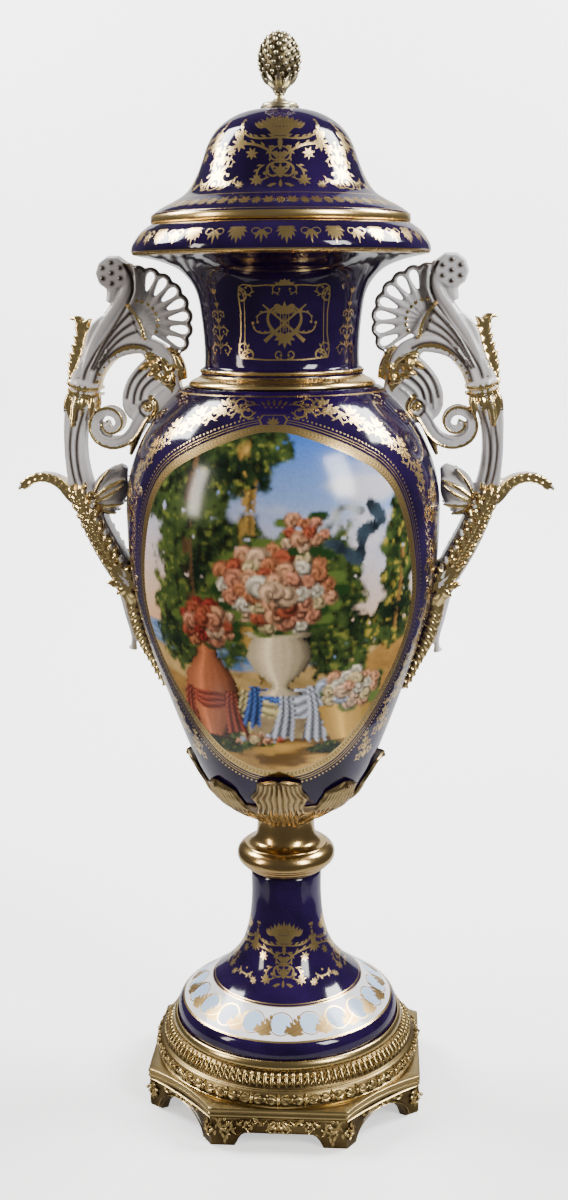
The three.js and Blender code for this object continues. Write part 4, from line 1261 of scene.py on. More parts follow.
for angle, level, size in ((72, 752, 1.25), (74, 694, 1.25), (74, 637, 1.2), (72, 584, 1.1), (68, 537, 1.0),
                           (62, 497, 0.9), (53, 465, 0.75)):
    lean = (610 - level) * 0.12
    stalk = [stroke(np.array([(0, -24), (0.6, -8), (-0.6, 8), (0, 26)], float), [0.7, 1.3, 0.7])]
    curls = leafy_scroll(1, -16, 60, 36, -60, -290, 1.3, 8, 5)
    curls += leafy_scroll(1, 2, 70, 26, -60, -280, 1.2, 6, 4)
    leaves = [petal(0, y, 90 + turn, 10, 4.6) for y in (-20, -4, 12, 24) for turn in (-42, 0, 42)]
    vessel_drawing += on_vessel(moved(stalk + both_sides(curls) + leaves, 0, 0, lean, size), GILT, angle,
                                level)

plaque = np.array([(-13, -7), (13, -7), (16, 1), (12, 7), (-12, 7), (-16, 1)], float)
vessel_drawing += on_vessel([plaque], GILT, 0, 851)
vessel_drawing += on_vessel([plaque * 0.86], COBALT, 0, 851)
fleuron = [petal(0, -5, 90 + turn, 10 - abs(turn) * 0.03, 3.6) for turn in (-70, -35, 0, 35, 70)]
vessel_drawing += on_vessel(fleuron + [disc(0, -5, 1.8)], GILT, 0, 851)
crown = [petal(x, 0, 90 - x * 3, 11 - abs(x) * 0.3, 3.4) for x in (-10, -5, 0, 5, 10)]
vessel_drawing += on_vessel(crown + [disc(x, -2, 1.6) for x in (-9, -3, 3, 9)], GILT, 0, 865)


def build_neck_drawing():
    """A scroll frame with a trophy of pipes and a lyre, and a candelabrum on each side of it."""
    shapes = []
    frame_half = [
        stroke(np.array([(0, 42), (20, 42), (34, 41), (47, 43), (52, 40)], float), [0.7, 0.9, 0.7]),
        stroke(np.array([(52, 40), (53, 30), (50, 12), (50, -12), (53, -30), (51, -38)], float),
               [0.7, 0.9, 0.7]),
        stroke(np.array([(0, -40), (20, -40), (36, -39), (51, -38)], float), [0.7, 0.9, 0.7]),
        stroke(np.array([(46, 30), (45, 10), (45, -10), (46, -30)], float), [0.4, 0.6, 0.4]),
    ]
    frame_half += leafy_scroll(52, 40, 200, 34, 60, 250, 0.9, 6, 5)
    frame_half += leafy_scroll(52, 40, 250, 34, -60, -250, 0.9, 6, 5)
    frame_half += leafy_scroll(51, -38, 160, 34, -60, -250, 0.9, 6, 5)
    frame_half += leafy_scroll(51, -38, 110, 34, 60, 250, 0.9, 6, 5)
    frame_half += leafy_scroll(0, 42, 20, 30, -60, -260, 0.8, 6, 5)
    frame_half += leafy_scroll(0, -40, -10, 26, 60, 260, 0.8, 5, 4)
    frame_half += [petal(0, 42, 90 - turn, 9, 3.6) for turn in (0, 35, 70)]
    shapes += both_sides(frame_half)
    pipes = [
        stroke(np.array([(-22, -20), (0, 0), (24, 20)], float), [2.2, 1.3, 0.9]),
        stroke(np.array([(22, -20), (0, 0), (-24, 20)], float), [2.2, 1.3, 0.9]),
    ]
    lyre = leafy_scroll(2, -14, 20, 44, 60, 90, 1.8)
    lyre += [np.array([(0, 13), (11, 13), (11, 15), (0, 15)], float)]
    lyre += [stroke(np.array([(x, -10), (x, 14)], float), [0.5, 0.5]) for x in (1.5, 4.5)]
    leaves = [petal(0, -12, -90 + turn, 16 - abs(turn) * 0.05, 5.5, turn * 0.4)
              for turn in (-75, -50, -25, 0, 25, 50, 75)]
    leaves += [petal(0, 10, 90 + turn, 14, 5, turn * 0.4) for turn in (-60, -30, 0, 30, 60)]
    ribbon = leafy_scroll(8, -8, -10, 34, -50, 160, 1.1, 5, 4)
    ribbon += leafy_scroll(8, 10, 10, 30, 50, -180, 1.0, 5, 4)
    shapes += pipes + both_sides(lyre) + leaves + both_sides(ribbon)
    made = laid(shapes, body_profile, GILT, 0, vessel_run(952))
    candelabrum = [stroke(np.array([(0, -32), (0, 0), (0, 34)], float), [0.5, 0.9, 0.4])]
    curls = []
    for y, size in ((-26, 22), (-6, 18), (12, 14)):
        curls += leafy_scroll(0.5, y, 40, size * 1.4, -40, -280, 0.8, size * 0.26, 4)
        curls += [petal(0, y + 8, 90 - turn, size * 0.45, 3.0) for turn in (0, 42)]
    candelabrum += both_sides(curls)
    candelabrum += [petal(0, 34, 90 + turn, 8, 3) for turn in (-40, 0, 40)]
    for angle in (52, 90):
        made += laid(candelabrum, body_profile, GILT, angle, vessel_run(950))
    return made


vessel_drawing += build_neck_drawing()
for k in range(6):
    palmette = [petal(0, 7.5, -90 + turn, 17.5 - abs(turn) * 0.062, 5.2 - abs(turn) * 0.014, -turn * 0.45)
                for turn in (-118, -82, -50, -24, 24, 50, 82, 118)]
    palmette += [petal(0, 8, -90, 19.5, 4.4), disc(0, 8.5, 2.0)]
    forked = [petal(0, 6, -90 + turn, 14, 4.0, -turn * 0.7) for turn in (-40, 40)]
    forked += [petal(0, 6, -90, 17, 3.2)] + both_sides(leafy_scroll(0.5, 4, 64, 19, -130, -120, 0.8, 0, 0))
    vessel_drawing += laid(palmette, body_profile, GILT, k * 18, vessel_run(NECK_TOP + 17.5))
    vessel_drawing += laid(forked, body_profile, GILT, k * 18 + 9, vessel_run(NECK_TOP + 17.5))

PAINT_STEP = 3.1
fine_dots = []
low_run = border_inside[0, 1]
high_run = border_inside[-1, 1]
for row, along in enumerate(np.arange(low_run + 2, high_run - 1, PAINT_STEP)):
    radius = body_radius(along)
    reach = np.interp(along, border_inside[:, 1], border_inside[:, 0]) * math.pi / 180 * radius
    for x in np.arange(1.2 + row % 2 * PAINT_STEP / 2, reach - 1, PAINT_STEP):
        fine_dots.append((math.degrees(x / radius), along))


def neck_twist(along):
    """Turns the neck's drawing a little against the belly's, as on the real piece."""
    first = vessel_run(SHOULDER_TOP + 1)
    last = vessel_run(SHOULDER_TOP + 14)
    end = body_run[body_outside_rows - 1]
    rising = np.clip((along - first) / (last - first), 0, 1)
    falling = np.clip((body_run[-1] - along) / (body_run[-1] - end), 0, 1)
    return NECK_TURN * rising * falling


def painted_finish(name):
    """Enamel painting under a clear glaze: its colours are stored at the points of the panel."""
    made, tree, shader = new_finish(name)
    colour = node(tree, "ShaderNodeAttribute", attribute_name="enamel")
    place = node(tree, "ShaderNodeTexCoord")
    dabs = node(tree, "ShaderNodeTexNoise",
                {"Vector": place.outputs["Object"], "Scale": 260.0, "Detail": 4.0})
    tone = node(tree, "ShaderNodeMapRange", {"Value": dabs.outputs["Fac"], "To Min": 0.82, "To Max": 1.18})
    toned = node(tree, "ShaderNodeVectorMath", {
        0: colour.outputs["Color"], "Scale": tone.outputs["Result"],
    }, operation="SCALE")
    bump = node(tree, "ShaderNodeBump", {"Height": dabs.outputs["Fac"], "Strength": 0.03, "Distance": 0.0005})
    feed(tree, shader, {"Base Color": toned.outputs[0], "Roughness": 0.16, "Normal": bump.outputs["Normal"]})
    return made


enamel = painted_finish("painted_enamel")
vessel, vessel_angle, vessel_along = drawn_vessel(
    "porcelain_vessel", body_profile, 0, 90, 28, vessel_drawing, PORCELAIN + [enamel], extra=fine_dots,
    twist=neck_twist)


def value_noise(x, y, size, seed):
    """Smooth random values from 0 to 1 over a plane."""
    x = x / size + seed * 17.3
    y = y / size + seed * 9.1
    i = np.floor(x)
    j = np.floor(y)
    u = x - i
    v = y - j
    u = u * u * (3 - 2 * u)
    v = v * v * (3 - 2 * v)

    def corner(a, b):
        return np.modf(np.abs(np.sin(a * 127.1 + b * 311.7 + seed) * 43758.5453))[0]

    low = corner(i, j) * (1 - u) + corner(i + 1, j) * u
    high = corner(i, j + 1) * (1 - u) + corner(i + 1, j + 1) * u
    return low * (1 - v) + high * v


def cloudy(x, y, size, seed):
    """Several sizes of smooth noise together, about 0 to 1."""
    return (value_noise(x, y, size, seed) * 0.5 + value_noise(x, y, size / 2, seed + 1) * 0.3
            + value_noise(x, y, size / 4.2, seed + 2) * 0.2)


def soft_step(value, low, high):
    share = np.clip((value - low) / (high - low), 0, 1)
    return share * share * (3 - 2 * share)


def over(picture, mask, colour):
    """Paints a colour, or a colour for each point, over the picture where the mask is."""
    mask = np.clip(mask, 0, 1)[:, None]
    return picture * (1 - mask) + np.asarray(colour, float) * mask


def spot_mask(x, y, cx, cy, rx, ry, soft=0.15, rough=0.0, seed=1):
    """A soft oval spot whose edge may be broken up like foliage."""
    far = np.hypot((x - cx) / rx, (y - cy) / ry)
    far = far + rough * (cloudy(x, y, 16, seed) - 0.5) * 2
    return 1 - soft_step(far, 1 - soft, 1 + soft)


def foliage(x, y, seed, warm=0.0):
    """Colours of leaves in light and shade, warmer where the sun comes through."""
    masses = cloudy(x, y, 36, seed)
    leaves = cloudy(x, y, 11, seed + 1)
    dabs = value_noise(x, y, 4.6, seed + 2)
    light = soft_step(0.55 * masses + 0.45 * leaves, 0.3, 0.68)[:, None]
    green = np.array([0.014, 0.034, 0.016]) * (1 - light) + np.array([0.110, 0.155, 0.048]) * light
    touched = (soft_step(dabs, 0.60, 0.82) * soft_step(leaves, 0.36, 0.6))[:, None] * (0.65 + 0.35 * warm)
    green = green * (1 - touched) + np.array([0.30 + 0.2 * warm, 0.33 + 0.06 * warm, 0.09]) * touched
    dark = soft_step(value_noise(x, y, 6.2, seed + 4), 0.62, 0.85)[:, None] * 0.6
    return green * (1 - dark)


def paint_landscape(x, y, seed):
    """A park in enamel colours: a glowing sky, the sea, sandy ground, and trees on both sides."""
    levels = (150, 205, 270, 330, 400)
    tones = np.array([(0.80, 0.50, 0.28), (0.78, 0.58, 0.44), (0.66, 0.62, 0.68), (0.30, 0.42, 0.70),
                      (0.07, 0.19, 0.54)])
    picture = np.column_stack([np.interp(y + 0.12 * x, levels, tones[:, k]) for k in range(3)])
    cloud = soft_step(cloudy(x, y * 1.8, 90, seed), 0.5, 0.74) * soft_step(y, 210, 300)
    picture = over(picture, cloud * 0.7, (0.84, 0.78, 0.76))
    sea = 1 - soft_step(y, 180, 184)
    picture = over(picture, sea, (0.17, 0.27, 0.46))
    picture = over(picture, sea * soft_step(value_noise(x, y * 6, 18, seed + 2), 0.5, 0.8) * 0.5,
                   (0.50, 0.54, 0.62))
    for rise, base, size, tone in ((0.34, 128, 70, (0.52, 0.37, 0.17)), (0.5, 96, 50, (0.40, 0.24, 0.08))):
        ridge = base + rise * np.maximum(x - 20, 0) + 0.16 * np.maximum(-x - 40, 0)
        ridge += 14 * value_noise(x, x * 0, size, seed + 3)
        slope = np.array(tone) * (0.6 + 0.8 * cloudy(x, y * 2, 26, seed + 6))[:, None]
        picture = over(picture, 1 - soft_step(y - ridge, -3, 3), slope)
    ground = 1 - soft_step(y - 84 - 8 * value_noise(x, x * 0, 40, seed + 5), -4, 4)
    earth = np.array([0.58, 0.37, 0.12]) * (0.5 + 0.9 * cloudy(x, y * 2.6, 44, seed + 6))[:, None]
    picture = over(picture, ground, earth)
    shadow = ground * soft_step(cloudy(x, y * 3.4, 50, seed + 7), 0.48, 0.62)
    picture = over(picture, shadow * 0.75, (0.12, 0.065, 0.022))
    for cx, cy, rx, ry, warm in ((-104, 352, 76, 62, 0.0), (-52, 372, 60, 44, 0.2), (-88, 262, 52, 84, 0.0),
                                 (-112, 196, 40, 62, 0.0), (-10, 384, 34, 24, 0.1), (-40, 232, 46, 86, 0.1),
                                 (58, 226, 46, 70, 0.3), (20, 200, 60, 60, 0.0), (74, 168, 34, 52, 0.2),
                                 (148, 268, 26, 62, 0.8), (150, 190, 30, 34, 1.0), (122, 176, 20, 18, 1.0),
                                 (-66, 36, 34, 14, 0.2), (60, 30, 26, 9, 0.2)):
        mask = spot_mask(x, y, cx, cy, rx, ry, 0.09, 0.36, seed + 8)
        holes = soft_step(value_noise(x, y, 7, seed + 11), 0.03, 0.09)
        picture = over(picture, mask * holes, foliage(x, y, seed + 9, warm))
    for x0, lean, width, low, top, tone in ((-84, -9, 7.0, 88, 400, (0.16, 0.10, 0.05)),
                                            (-34, 7, 8.5, 90, 396, (0.42, 0.28, 0.09)),
                                            (-12, -8, 4.5, 110, 360, (0.30, 0.20, 0.07)),
                                            (146, 5, 3.4, 120, 300, (0.26, 0.16, 0.06))):
        trunk = x0 + lean * np.sin((y - 100) / 90) + 0.03 * lean * (y - 200) / 10
        side = (x - trunk) / width
        mask = (1 - soft_step(np.abs(side), 0.75, 1.0)) * (1 - soft_step(y, top - 20, top))
        mask *= soft_step(y, low, low + 6)
        mask = mask * soft_step(cloudy(x, y, 15, seed + 15), 0.40, 0.52)
        bark = np.array(tone) * (0.7 + 0.6 * value_noise(x * 3, y, 9, seed + 4) + 0.4 * side)[:, None]
        picture = over(picture, mask, bark)
    return picture


def paint_pot(picture, x, y, middle, levels, halves, tone):
    """A turned pot in light from the upper left."""
    half = np.interp(y, levels, halves)
    mask = (np.abs(x - middle) < half) & (y > levels[0]) & (y < levels[-1])
    side = np.clip((x - middle) / half, -1, 1)
    shade = 0.28 + 0.8 * np.sqrt(1 - side ** 2) - 0.34 * side + 0.05 * np.cos(side * 20)
    shade += 0.5 * np.exp(-((side + 0.38) / 0.16) ** 2)
    return over(picture, mask * 1.0, np.array(tone) * shade[:, None])


def paint_cloth(picture, x, y, left, right, top, drop, hem, tone, seed):
    """A cloth hung between two points: a swag of curved folds with a loose tail at each end."""
    middle = (left + right) / 2
    half = (right - left) / 2
    across = (x - middle) / half
    sag = top - drop * np.sqrt(np.clip(1 - across ** 2, 0, 1))
    sway = 0.8 * np.sin(across * 5)
    folds = 0.5 + 0.5 * np.cos(6.0 * math.pi * (top - y) / np.maximum(top - sag, 4) + sway)
    swag = (np.abs(across) < 1) & (y < top) & (y > sag)
    light = (0.35 + 0.75 * folds) * (1.05 - 0.3 * across)
    picture = over(picture, swag * 1.0, np.array(tone) * light[:, None])
    for end, lean in ((left, -0.07), (right, 0.05)):
        centre = end + lean * (top - y) + 2.5 * np.sin(y * 0.07 + seed)
        width = 6.5 + 0.11 * (top - y)
        side = (x - centre) / width
        lower = hem + 9 * np.abs(np.modf(np.abs(side * 1.5 + 0.2))[0] - 0.5) * 2
        tail = (np.abs(side) < 1) & (y < top + 3) & (y > lower)
        light = 0.55 + 0.5 * np.cos(side * 8.5 + 1.2 * np.sin(y * 0.06 + seed)) - 0.15 * side
        picture = over(picture, tail * 1.0, np.array(tone) * np.clip(light, 0.2, 1.2)[:, None])
    return picture


def paint_ribbon(picture, x, y, spots, width, tone):
    """A fluttering ribbon through the spots, dark in its turns."""
    path = curve_through(np.array(spots, float), 4.0)
    away = np.full(len(x), 1e9)
    share = np.zeros(len(x))
    for k, (px, py) in enumerate(path):
        far = np.hypot(x - px, y - py)
        share = np.where(far < away, k / len(path), share)
        away = np.minimum(away, far)
    wide = width * (0.55 + 0.45 * np.abs(np.cos(share * 14)))
    light = 0.35 + 0.8 * np.abs(np.cos(share * 14 + 0.4)) + 0.25 * (away / width)
    return over(picture, 1 - soft_step(away, wide - 1.5, wide), np.array(tone) * light[:, None])


def paint_roses(picture, x, y, middle, level, wide, tall, count, size, tones, seed):
    """An oval heap of roses among leaves, each a swirl of petals."""
    random = np.random.default_rng(seed)
    for k in range(count):
        angle = random.uniform(0, 2 * math.pi)
        far = random.uniform(0.75, 1.12)
        cx = middle + wide * far * math.cos(angle)
        cy = level + tall * far * math.sin(angle)
        leaf = spot_mask(x, y, cx, cy, size * 0.95, size * 0.5, 0.2, 0.3, k)
        picture = over(picture, leaf, (0.035, 0.085, 0.025) if k % 2 else (0.16, 0.22, 0.06))
    for k in range(count):
        angle = k * 2.39996 + seed
        far = math.sqrt((count - k - 0.5) / count)
        cx = middle + wide * far * math.cos(angle)
        cy = level + tall * far * math.sin(angle)
        radius = random.uniform(0.72, 1.2) * size * (1 - 0.2 * far)
        tone = np.array(tones[random.integers(len(tones))])
        away = np.hypot(x - cx, (y - cy) * 1.12)
        swirl = np.arctan2(y - cy, x - cx)
        shade = 0.62 + 0.3 * np.cos(away / radius * 8 - swirl * 2 + k)
        shade = shade + 0.34 * (y - cy) / radius - 0.24 * (x - cx) / radius
        shade = shade * (1.1 - 0.5 * soft_step(away, radius * 0.7, radius))
        picture = over(picture, 1 - soft_step(away, radius - 1.4, radius + 0.5),
                       tone * np.clip(shade, 0.16, 1.5)[:, None])
    return picture


def paint_urn(picture, x, y, seed):
    """A stone urn of roses on a draped block, with a jar on its left and a basket on its right."""
    flesh = [(0.62, 0.28, 0.15), (0.74, 0.42, 0.26), (0.80, 0.56, 0.38), (0.52, 0.16, 0.09),
             (0.70, 0.34, 0.22)]
    pale = [(0.80, 0.72, 0.58), (0.76, 0.62, 0.36), (0.62, 0.66, 0.78), (0.74, 0.42, 0.26)]
    for cx, rx in ((-74, 44), (6, 60), (86, 42)):
        picture = over(picture, spot_mask(x, y, cx + 10, 50, rx, 10, 0.5) * 0.8, (0.09, 0.045, 0.018))
    block = (np.abs(x - 6) < 38 - 3 * (y > 100)) & (y < 108) & (y > 46)
    stone = np.array([0.46, 0.36, 0.22]) * (0.55 + 0.7 * cloudy(x, y, 18, seed) - 0.004 * x)[:, None]
    picture = over(picture, block * 1.0, stone)
    picture = paint_cloth(picture, x, y, -34, 44, 108, 36, 44, (0.72, 0.62, 0.34), seed + 1)
    picture = paint_cloth(picture, x, y, -24, 50, 114, 22, 58, (0.14, 0.24, 0.56), seed + 2)
    picture = paint_cloth(picture, x, y, 12, 42, 112, 40, 40, (0.66, 0.68, 0.76), seed + 3)
    picture = paint_ribbon(picture, x, y, [(40, 250), (64, 276), (92, 262), (98, 288), (120, 300),
                                           (108, 318)], 9,
                           (0.06, 0.085, 0.11))
    picture = paint_ribbon(picture, x, y, [(20, 262), (34, 292), (58, 296), (74, 316), (96, 312)], 6,
                           (0.42, 0.44, 0.46))
    picture = paint_pot(picture, x, y, 6, [104, 109, 113, 120, 134, 152, 168, 176, 179, 183],
                        [24, 22, 9, 10, 26, 36, 34, 27, 38, 36], (0.62, 0.52, 0.36))
    picture = paint_roses(picture, x, y, 4, 232, 62, 46, 46, 14, flesh + pale[:2], seed + 4)
    picture = paint_roses(picture, x, y, 34, 292, 22, 20, 10, 10, flesh, seed + 5)
    picture = paint_pot(picture, x, y, -78, [44, 52, 70, 96, 124, 142, 152, 160, 163, 168],
                        [15, 19, 30, 37, 33, 20, 12, 13, 20, 19], (0.50, 0.20, 0.10))
    picture = paint_cloth(picture, x, y, -108, -50, 104, 26, 40, (0.46, 0.13, 0.08), seed + 6)
    picture = paint_roses(picture, x, y, -78, 190, 34, 26, 18, 12, flesh + [(0.42, 0.08, 0.06)], seed + 7)
    picture = paint_pot(picture, x, y, 88, [40, 46, 58, 74, 84, 88], [24, 28, 33, 37, 41, 40],
                        (0.56, 0.36, 0.10))
    picture = paint_roses(picture, x, y, 88, 108, 36, 24, 20, 12, pale + flesh[1:3], seed + 8)
    picture = paint_roses(picture, x, y, -22, 44, 30, 7, 10, 7, flesh + pale, seed + 9)
    return picture


def vessel_colours():
    """Enamel colours for the points of the panels: an urn of roses in front, a plain park behind."""
    behind = (vessel_angle > 90) & (vessel_angle < 270)
    turn = np.mod(vessel_angle + 180, 360) - 180
    turn = np.where(behind, np.mod(vessel_angle, 360) - 180, turn)
    radius = body_radius(vessel_along)
    x = np.radians(turn) * np.minimum(radius, 176)
    y = (vessel_along - low_run) * 400 / (high_run - low_run)
    front = paint_urn(paint_landscape(x, y, 3), x, y, 5)
    back = paint_landscape(-x, y, 21)
    return np.where(behind[:, None], back, front)


painted = np.clip(vessel_colours(), 0, 1) ** 1.3
layer = vessel.data.color_attributes.new("enamel", "FLOAT_COLOR", "POINT")
layer.data.foreach_set("color", np.column_stack([painted, np.ones(len(painted))]).astype(np.float32).ravel())
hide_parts("body")
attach(vessel, "root")

# Handles
# Two slip-cast porcelain scroll handles fixed to the shoulder: a pierced shell fan, a fluted neck
# with a beaded roundel, a leafy scroll and volute, and a long stem. White glaze, edged in gilt.

HANDLE_HEIGHT = 506.0
HANDLE_VOXEL = 1.44
HANDLE_TIP = 316.9
LAUREL_WIDTH = 11.0
WHITE_PART, GILT_PART, BROWN_PART = 0.0, 1.0, 2.0


def in_handle(rows):
    """Stations in thousandths of the handle's height, out from the belly and up from its level, as mm."""
    share = HANDLE_HEIGHT / 1000
    return [(BODY_RADIUS + out * share, BELLY + up * share, width * share, depth * share)
            for out, up, width, depth in rows]


def limb(rows, tint=WHITE_PART, side=0.0, sides=14, step=2.6, square=2.5):
    """A closed bar through stations (x, z, half width, half depth), as points, faces and tint."""
    rows = curve_through(rows, step)
    along = np.gradient(rows[:, :2], axis=0)
    along /= np.maximum(np.linalg.norm(along, axis=1), 1e-6)[:, None]
    angle = np.arange(sides) * 2 * np.pi / sides
    wide = np.sign(np.cos(angle)) * np.abs(np.cos(angle)) ** (2 / square)
    deep = np.sign(np.sin(angle)) * np.abs(np.sin(angle)) ** (2 / square)
    width = rows[:, 2:3] * wide[None]
    points = np.stack([
        rows[:, :1] - along[:, 1:2] * width,
        side + rows[:, 3:4] * deep[None],
        rows[:, 1:2] + along[:, :1] * width,
    ], -1).reshape(-1, 3)
    count = len(rows)
    ends = np.array([(rows[0, 0], side, rows[0, 1]), (rows[-1, 0], side, rows[-1, 1])])
    faces = grid_faces(count, sides, closed=True).tolist()
    last = count * sides
    for j in range(sides):
        k = (j + 1) % sides
        faces.append((last, k, j))
        faces.append((last + 1, last - sides + j, last - sides + k))
    return np.vstack([points, ends]), faces, tint


def pod(x, z, radius, depth, tint=GILT_PART, side=0.0, tall=1.0):
    """A small closed oval lump."""
    rings = np.radians(np.arange(0, 181, 30) - 90)
    turn = np.arange(10) * 2 * np.pi / 10
    points = np.stack([
        x + radius * np.cos(rings)[:, None] * np.cos(turn),
        side + depth * np.sin(rings)[:, None] * np.ones(10),
        z + radius * tall * np.cos(rings)[:, None] * np.sin(turn),
    ], -1).reshape(-1, 3)
    return points, grid_faces(len(rings), 10, closed=True).tolist(), tint


def on_both_faces(made, *rows, **settings):
    """The same lump or bar on the front and on the back of the handle."""
    depth = settings.pop("at")
    return [made(*rows, side=-depth, **settings), made(*rows, side=depth, **settings)]


def leaf_bar(x, z, heading, length, width, rise, bend=0.0):
    """Stations of a small pointed leaf."""
    path = scroll_path(x, z, heading, length, bend, steps=5)
    swell = np.array([0.35, 0.85, 1.0, 0.85, 0.5, 0.12])
    return np.column_stack([path, width * 0.5 * swell, rise * (0.4 + 0.6 * swell)])


def head_plate():
    """The flat core of the neck and the leafy scroll, with rounded edges."""
    corners = [
        (122, 283), (94, 356), (70, 425), (32, 455), (11, 478), (6, 500), (4, 532), (-7, 559), (-25, 561),
        (-23, 524), (-19, 494), (-21, 462), (-42, 403), (-70, 391), (-96, 377), (-116, 348), (-127, 306),
        (-137, 263), (-150, 235), (-118, 212), (-68, 200), (-25, 204), (-4, 222), (3, 247), (-4, 273),
        (-21, 300), (-45, 321), (-53, 344), (-46, 358), (-23, 358), (12, 348), (38, 326), (54, 300),
        (62, 279),
    ]
    flat = np.array([row[:2] for row in in_handle([(out, up, 0, 0) for out, up in corners])])
    flat = curve_through(np.vstack([flat[-2:], flat, flat[:2]]), 3.0)
    flat = flat[np.linspace(6, len(flat) - 7, 150).astype(int)]
    out = -sideways(flat)
    made = []
    for inset, depth in ((2.6, -15.5), (1.0, -14.4), (0.0, -12.0), (0.0, 12.0), (1.0, 14.4), (2.6, 15.5)):
        ring = flat - out * inset
        made.append(np.column_stack([ring[:, 0], np.full(len(ring), depth), ring[:, 1]]))
    faces = grid_faces(len(made), len(flat), closed=True).tolist()
    size = len(flat)
    faces.append(list(range(size)))
    faces.append(list(range(size * 6 - 1, size * 5 - 1, -1)))
    return np.vstack(made), faces, WHITE_PART


def fan_point(degrees, reach):
    """A place on the fan, from its middle."""
    angle = math.radians(degrees)
    return 167.8 - reach * math.cos(angle), 951.3 + reach * math.sin(angle)


def build_fan():
    """The pierced shell: a looped rib round each slot, a scalloped rim and a solid heel."""
    parts = []
    lobes = 8
    lobe = 129.0 / lobes
    for i in range(lobes):
        middle = -33 + (i + 0.5) * lobe
        loop = [(20, 0), (34, -3.4), (46, -6.4), (54, -6.9), (59.5, -4.6), (61.6, 0),
                (59.5, 4.6), (54, 6.9), (46, 6.4), (34, 3.4), (20, 0)]
        rows = [fan_point(middle + turn, reach) + (1.7, 6.4) for reach, turn in loop]
        parts.append(limb(rows, sides=10, step=2.0))
        crest = ((59.5, -8), (62.5, -4), (63.4, 0), (62.5, 4), (59.5, 8))
        rim = [fan_point(middle + turn, reach) + (2.2, 7.6) for reach, turn in crest]
        parts.append(limb(rim, BROWN_PART, sides=10, step=2.0))
        parts.append(limb([fan_point(middle - lobe / 2, 8) + (1.5, 9.5),
                           fan_point(middle - lobe / 2, 30) + (1.3, 8.0),
                           fan_point(middle - lobe / 2, 50) + (1.2, 6.8)], sides=8, step=2.5))
        if i == lobes - 1:
            parts.append(limb([fan_point(middle, 20) + (3.0, 3.0), fan_point(middle, 58) + (7.5, 3.0)],
                              sides=8))
        parts += on_both_faces(pod, *fan_point(middle, 25), 1.1, 1.6, GILT_PART, at=7.2)
    heel = [fan_point(90, 12) + (9, 7), fan_point(50, 12) + (11, 7), fan_point(10, 12) + (12, 7),
            fan_point(-25, 14) + (12, 7), fan_point(-45, 22) + (9, 7)]
    parts.append(limb(heel, sides=10))
    return parts


laurel_path = np.array([(243, 756), (236, 738), (226, 715), (214, 692), (202, 669)], float)
roundel_beads = [(193.0, 1007.5)] + round_spots(193, 1007.5, 11.6, 30, 390, 60)


